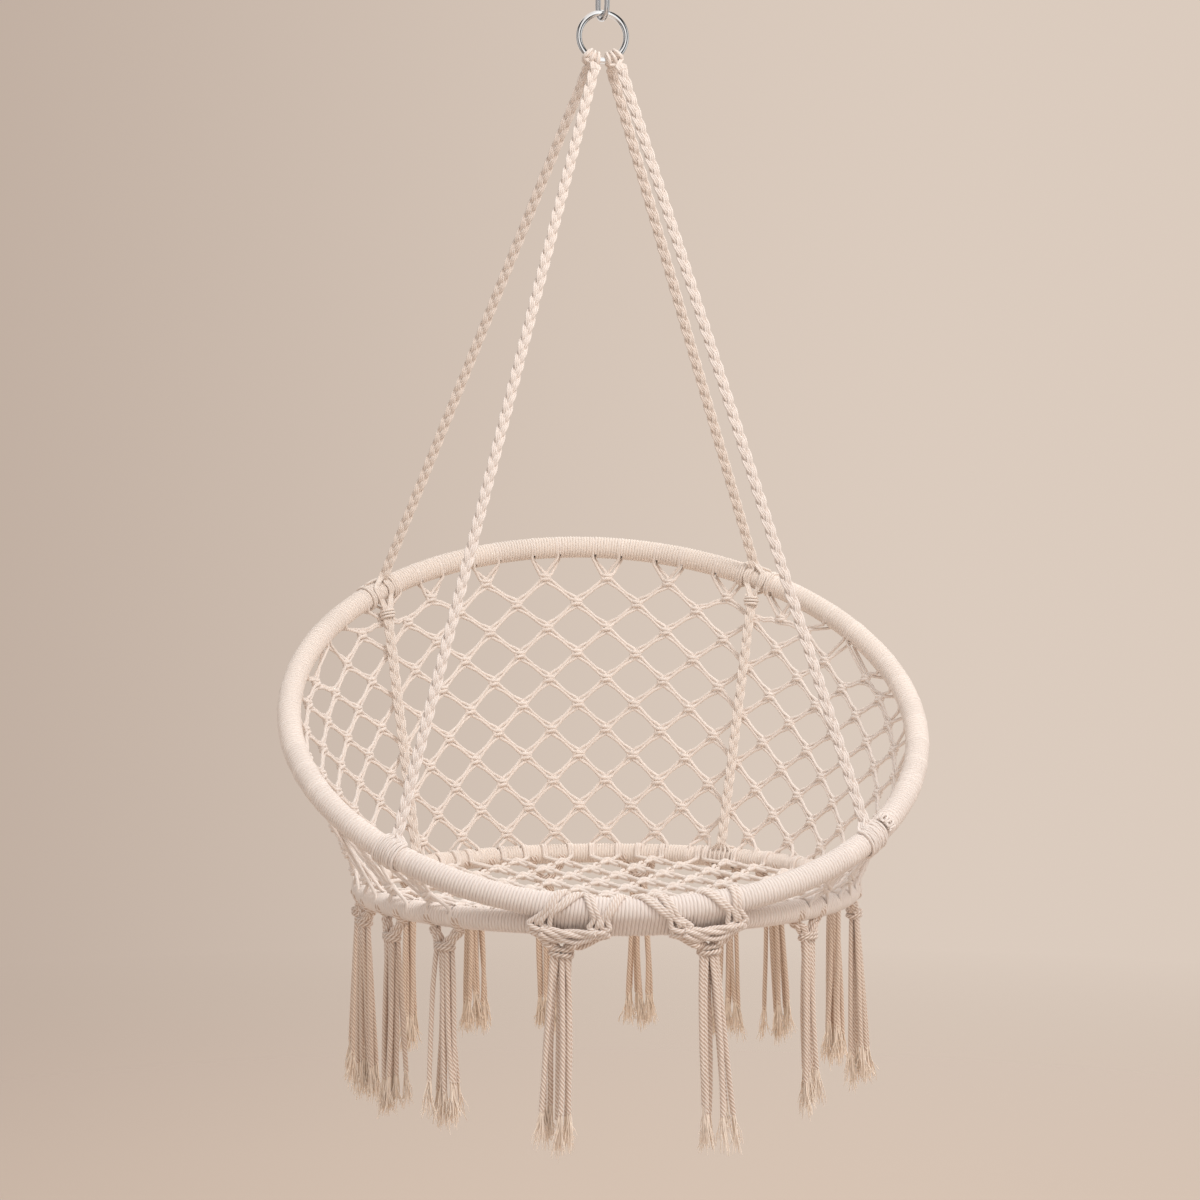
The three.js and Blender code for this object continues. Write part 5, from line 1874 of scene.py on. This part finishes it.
@dataclass
class RingTassels:
    """The tassels round the seat ring, each on two bundles of cords that come over the ring.

    Fields:
        angles_deg: Each tassel's angle on the seat ring.
        yoke_spread: Half the distance between a tassel's two bundles on the ring.
        bundle_pitch: The distance between a bundle's cords.
        bundle_turn: How far a bundle twists on its way down.
    """

    angles_deg: tuple = (-136, -118, -101, -85, -50.4, -29, -9, 15, 39, 53, 79, 103, 137)
    foot_drop: float = 0.236
    knot_drop: float = 0.0315
    knot_reach: float = 0.004
    yoke_spread: float = 0.020
    bundle_pitch: float = 0.0052
    bundle_turn: float = 1.9

    def build(self, shop: Workshop) -> None:
        """Builds the thirteen tassels."""
        for i, degrees in enumerate(self.angles_deg):
            angle = math.radians(degrees)
            random = np.random.default_rng(100 + i)
            knot = SEAT.point(angle) - UP * (self.knot_drop + random.uniform(-0.003, 0.003))
            knot = knot + SEAT.outward(angle) * self.knot_reach
            across = SEAT.along(angle)
            arrivals = [self.arrival(angle, knot, across, number) for number in range(8)]
            node = f"tassel_{i + 1:02d}"
            foot = SEAT_CENTRE[2] - self.foot_drop + random.uniform(-0.002, 0.010)
            Tassel(node + "_cords", node, knot, across, foot, 200 + 3 * i).build(shop, arrivals)

    def arrival(self, angle: float, knot: np.ndarray, across: np.ndarray, number: int) -> list[np.ndarray]:
        """Returns a cord's way round the seat ring and through a square knot to its tassel.

        Args:
            angle: The tassel's angle on the seat ring.
            knot: The middle of the gather knot.
            across: The direction of the tassel's width.
            number: The cord's number, the first two of each four on the left.
        """
        row, column = divmod(number, 4)
        sign = -1 if column < 2 else 1
        beside, behind = column % 2 - 0.5, 0.5 - row
        deep = np.cross(across, UP)
        aside = sign * self.yoke_spread + beside * self.bundle_pitch
        path = [
            SEAT.around(angle, -math.pi / 2 - math.copysign(lean, behind), reach, aside)
            for lean, reach in ((1.7, 0.0100), (1.15, 0.0122))
        ]
        head = SEAT.around(angle, -math.pi / 2, SEAT.wound_radius + 0.0005, sign * self.yoke_spread)
        foot = knot + across * sign * 0.0085 + UP * 0.0062
        side = unit(np.cross(deep, foot - head)) * -sign
        for share in (0.12, 0.45, 0.78, 1.0):
            turn = self.bundle_turn * (1 - share) * sign
            x = math.cos(turn) * beside - math.sin(turn) * behind
            y = math.sin(turn) * beside + math.cos(turn) * behind
            path.append(head + (foot - head) * share + (side * x + deep * y) * self.bundle_pitch)
        return path


@dataclass
class FrontKnotwork:
    """Knots and crossed cords over the lashing, and the two front tassels below them.

    Fields:
        side: "left" or "right".
        angles_deg: The angles on the hoop of the two knots and of the tassel.
        leans: How far each knot's left and right cords lean along the hoop on their way over it.
        rise_turns_deg: The directions about the hoop's tube of those cords' points.
        rise_pitch: The distance between two of those cords.
        rise_sink: How much nearer to the tube their last point lies.
        row_depth: The distance between the two rows of cords that come to the tassel.
        gather_lead: How far above the tassel's knot they meet.
        strap_share: How thick the cords between the knots are, of the others.
        straps: Where round the bundle and how deep below the knots each strap between them hangs.
    """

    side: str
    angles_deg: tuple
    leans: tuple
    gather_drop: float = 0.029
    gather_reach: float = 0.014
    foot_drop: float = 0.248
    cord_radius: float = 0.0029
    knot_size: float = 1.7
    knot_lift: float = 0.0072
    rise_turns_deg: tuple = (75, 45, 15, -20, -50)
    rise_reach: float = 0.0172
    rise_pitch: float = 0.0050
    rise_sink: float = 0.0025
    row_depth: float = 0.0056
    bend_reach: float = 0.004
    gather_side: float = 0.0088
    gather_pitch: float = 0.0050
    gather_lead: float = 0.0070
    step: float = 0.0016
    strap_share: float = 0.92
    straps: tuple = ((0.0, 0.0050), (2.1, 0.0050), (4.2, 0.0050), (1.0, 0.0135), (4.1, 0.0135))

    def gather(self) -> tuple[np.ndarray, np.ndarray, np.ndarray]:
        """Returns the tassel's knot, the level direction away from the seat and the one to the right."""
        face = LashedFace(math.radians(self.angles_deg[2]))
        outward = unit(np.cross(UP, face.side))
        if outward[1] > 0:
            outward = -outward
        centre = face.seat + outward * self.gather_reach
        centre[2] = SEAT_CENTRE[2] - self.gather_drop
        return centre, outward, face.rightward

    def rise(self, k: int, lane: int) -> list[np.ndarray]:
        """Returns a cord's way from behind the hoop over it to a knot.

        Args:
            k: The knot's number.
            lane: The cord's number from the left.
        """
        lean = self.leans[k][0 if lane < 2 else 1]
        points = []
        for j, turn in enumerate(np.radians(self.rise_turns_deg)):
            aside = lean * ((j + 1) / 5) + self.rise_pitch / 2 * (lane % 2 * 2 - 1)
            face = LashedFace(math.radians(self.angles_deg[k]) - aside / HOOP.radius)
            points.append(face.over(turn, self.rise_reach - self.rise_sink * (j == 4)))
        return points[::-1]

    def strap(self, first: Knot, last: Knot, turn: float, sag: float) -> list[np.ndarray]:
        """Returns a cord's way from one knot to the other.

        Args:
            first: The left knot.
            last: The right knot.
            turn: Where round the bundle it starts.
            sag: How far it hangs down.
        """
        points = []
        for share in np.linspace(0.04, 0.96, 9):
            roll = turn + 5.5 * share
            place = first.centre * (1 - share) + last.centre * share
            lift = 0.0040 - sag * math.sin(math.pi * share) + 0.0030 * math.sin(roll)
            front = 0.0040 + sag * 0.3 + 0.0026 * math.cos(roll)
            points.append(place + last.face * front + last.up * lift)
        return points

    def build(self, shop: Workshop) -> None:
        """Builds one side's knots, then its tassel.

        Args:
            shop: The workshop.
        """
        centre, outward, across = self.gather()
        lines = Lines(71)
        arrivals: dict[int, list] = {}
        knots = []
        for k, degrees in enumerate(self.angles_deg[:2]):
            face = LashedFace(math.radians(degrees))
            middle = face.front
            knot = Knot(
                middle + face.normal * self.knot_lift,
                face.rightward,
                across_to(unit(face.hoop - face.seat), face.rightward),
                self.knot_size,
            )
            knots.append(knot)
            sign = 1 if float((middle - centre) @ across) > 0 else -1
            for lane, role in enumerate(["left", "left_core", "right_core", "right"]):
                lines.add(smooth([*self.rise(k, lane), *knot.path(role)], self.step), self.cord_radius)
                row, place = divmod(lane, 2)
                start = knot.path(role)[-1]
                front = outward * self.row_depth * (0.5 - row)
                bend = start + (centre - start) * 0.5 + outward * self.bend_reach + front
                bend = bend + UP * self.row_depth * (place - 0.5) * sign
                aside = sign * self.gather_side + self.gather_pitch * (place - 0.5)
                near = centre + across * aside + front + UP * self.gather_lead
                arrivals[row * 4 + place + (0 if sign < 0 else 2)] = [start, bend, near]
        for turn, sag in self.straps:
            points = self.strap(*knots, turn, sag)
            lines.add(smooth(points, self.step), self.cord_radius * self.strap_share)
        node = f"front_macrame_{self.side}"
        section = {**TWISTED_SECTION, "Ply Depth": 0.12, "Finish": shop.twisted_finish}
        shop.make(node + "_cords", lines, Slot.NET, [node], section)
        node = f"tassel_front_{self.side}"
        foot, seed = SEAT_CENTRE[2] - self.foot_drop, 300 + len(self.side)
        sizes = {"cord_radius": 0.0030, "foot_pitch": 0.0100}
        tassel = Tassel(node + "_cords", node, centre, across, foot, seed, **sizes)
        tassel.build(shop, [arrivals[n] for n in range(8)])


@dataclass(frozen=True)
class Lamp:
    """A soft round lamp that faces the chair and isn't seen in bright metal."""

    name: str
    place: tuple
    size: float
    power: float
    colour: tuple

    def build(self) -> None:
        """Adds the lamp."""
        data = bpy.data.lights.new(self.name, "AREA")
        data.shape, data.size, data.energy, data.color = "DISK", self.size, self.power, self.colour
        lamp = bpy.data.objects.new(self.name, data)
        lamp.location = self.place
        lamp.visible_glossy = False
        way = Vector((0.0, 0.0, -0.85)) - Vector(self.place)
        lamp.rotation_euler = way.to_track_quat("-Z", "Y").to_euler()
        bpy.context.scene.collection.objects.link(lamp)


@dataclass(frozen=True)
class Studio:
    """Camera, lamps, pale backdrop and floor.

    Fields:
        azimuth: The camera's place about the chair, from the front towards the right.
        distance: Its level distance from the seat's centre.
        height: Its height above that centre.
        yaw: How far it turns left of the seat's centre.
        pitch: How far it looks up.
        roll: How far it leans.
        focal_pixels: Its focal length in pixels of the photograph.
        frame_pixels: The photograph's width in pixels.
        cards: The shades that bright metal reflects, from left to right.
    """

    azimuth: float = -0.118888
    distance: float = 2.94207
    height: float = 0.42587
    yaw: float = 0.002605
    pitch: float = -0.02600
    roll: float = -0.000795
    focal_pixels: float = 2407.3
    frame_pixels: int = 1200
    sensor_width: float = 36.0
    floor_colour: tuple = (0.60, 0.50, 0.425)
    dim_side: tuple = (0.49, 0.39, 0.325)
    bright_side: tuple = (0.71, 0.60, 0.515)
    cards: tuple = (
        (0.0, (1.1, 1.3, 1.5)),
        (0.05, (1.1, 1.3, 1.5)),
        (0.09, (0.07, 0.08, 0.10)),
        (0.20, (0.12, 0.14, 0.16)),
        (0.26, (1.9, 2.24, 2.58)),
        (0.60, (1.9, 2.24, 2.58)),
        (0.66, (0.08, 0.095, 0.11)),
        (0.86, (0.05, 0.06, 0.07)),
        (0.92, (0.9, 1.06, 1.22)),
        (1.0, (1.2, 1.4, 1.6)),
    )
    light_above: tuple = (1.0, 0.97, 0.95)
    light_below: tuple = (0.74, 0.58, 0.46)
    light_strength: float = 0.76
    floor_height: float = -2.05
    floor_radius: float = 7.0
    lamps: tuple = (
        Lamp("key_lamp", (1.4, -2.3, 2.0), 1.8, 76.0, (1.0, 0.98, 0.965)),
        Lamp("fill_lamp", (-2.6, -2.2, 0.9), 2.4, 8.0, (1.0, 0.98, 0.98)),
        Lamp("rear_lamp", (0.6, 2.8, 1.4), 2.0, 40.0, (1.0, 0.93, 0.86)),
    )

    def camera(self) -> None:
        """Makes the camera at the photograph's angle."""
        east, north = math.sin(self.azimuth) * self.distance, -math.cos(self.azimuth) * self.distance
        spot = SEAT_CENTRE + np.array([east, north, self.height])
        heading = self.azimuth + self.yaw
        level = np.array([-math.sin(heading), math.cos(heading), 0.0])
        ahead = level * math.cos(self.pitch) + UP * math.sin(self.pitch)
        right = unit(np.cross(ahead, UP))
        right = right * math.cos(self.roll) + np.cross(right, ahead) * math.sin(self.roll)
        matrix = np.eye(4)
        matrix[:3] = np.stack([right, np.cross(right, ahead), -ahead, spot], axis=1)
        data = bpy.data.cameras.new("camera")
        data.sensor_width = self.sensor_width
        data.lens = self.sensor_width * self.focal_pixels / self.frame_pixels
        data.clip_start, data.clip_end = 0.05, 60.0
        camera = bpy.data.objects.new("camera", data)
        camera.matrix_world = Matrix(matrix.tolist())
        bpy.context.scene.collection.objects.link(camera)
        bpy.context.scene.camera = camera

    def world(self) -> None:
        """Gives even light, with the pale backdrop where the camera or a bright metal looks."""
        world = bpy.data.worlds.new("studio")
        bpy.context.scene.world = world
        world.use_nodes = True
        world.node_tree.nodes.clear()
        graph = Graph(world.node_tree)
        path = graph.add("ShaderNodeLightPath")
        glossy = path.other("Is Glossy Ray")
        seen = (path + glossy + path.other("Is Transmission Ray")).at_most(1.0)
        way, _, height = graph.parts(graph.add("ShaderNodeTexCoord"))
        sweep = graph.span(way, -0.30, 0.28, interpolation_type="SMOOTHSTEP")
        backdrop = graph.blend(sweep, self.dim_side, self.bright_side)
        across = graph.span(way, -1.0, 1.0)
        cards = graph.add("ShaderNodeValToRGB", {"Fac": across}, stops=self.cards)
        reflected = graph.blend(glossy, (1.0, 1.0, 1.0), cards)
        glow = graph.blend(height * 0.5 + 0.5, self.light_below, self.light_above)
        strength = (across * 0.34 + 0.83) * self.light_strength
        light = graph.add("ShaderNodeBackground", {"Color": glow, "Strength": strength})
        colour = graph.blend(1.0, backdrop, reflected, "MULTIPLY")
        shown = graph.add("ShaderNodeBackground", {"Color": colour, "Strength": 1.0})
        mixed = graph.add("ShaderNodeMixShader", {0: seen, 1: light, 2: shown})
        graph.add("ShaderNodeOutputWorld", {"Surface": mixed})

    def floor(self) -> None:
        """Lays a pale floor that fades into the backdrop."""
        turns = np.linspace(0, FULL_TURN, 97)[:-1]
        mesh = bpy.data.meshes.new("floor")
        radius, height = self.floor_radius, self.floor_height
        points = [(radius * math.cos(t), radius * math.sin(t), height) for t in turns]
        mesh.from_pydata(points, [], [list(range(len(points)))])
        floor = bpy.data.objects.new("floor", mesh)
        bpy.context.scene.collection.objects.link(floor)
        mesh.materials.append(self.floor_finish())

    def floor_finish(self) -> bpy.types.Material:
        """Returns a matt material that clears away from the chair."""
        material, graph = new_material("pale_floor")
        x, y, _ = graph.parts(graph.add("ShaderNodeTexCoord").other("Object"))
        fade = graph.span((x * x + y * y) ** 0.5, 0.8, 5.0)
        matt = graph.add("ShaderNodeBsdfDiffuse", {"Color": (*self.floor_colour, 1.0)})
        clear = graph.add("ShaderNodeBsdfTransparent")
        mixed = graph.add("ShaderNodeMixShader", {0: fade, 1: matt, 2: clear})
        graph.add("ShaderNodeOutputMaterial", {"Surface": mixed})
        return material

    def build(self) -> None:
        """Builds the world, the floor and the lamps."""
        self.world()
        self.floor()
        for lamp in self.lamps:
            lamp.build()
        bpy.context.scene.view_settings.view_transform = "Standard"


def main() -> None:
    """Builds the whole chair and its studio."""
    logging.basicConfig(level=logging.INFO, format="%(message)s")
    studio = Studio()
    studio.camera()
    shop = Workshop()
    Suspension().build(shop)
    Hardware().build(shop)
    net = BackNet()
    net.build(shop)
    SeatNet().build(shop)
    WoundRails().build(shop, net.heads, net.feet)
    RingTassels().build(shop)
    FrontKnotwork("left", (-173.5, -164.2, -167.5), ((-0.019, 0.025), (0.022, 0.046))).build(shop)
    FrontKnotwork("right", (164.6, 173.8, 168.7), ((-0.035, 0.004), (-0.048, -0.022))).build(shop)
    studio.build()


if __name__ == "__main__":
    main()
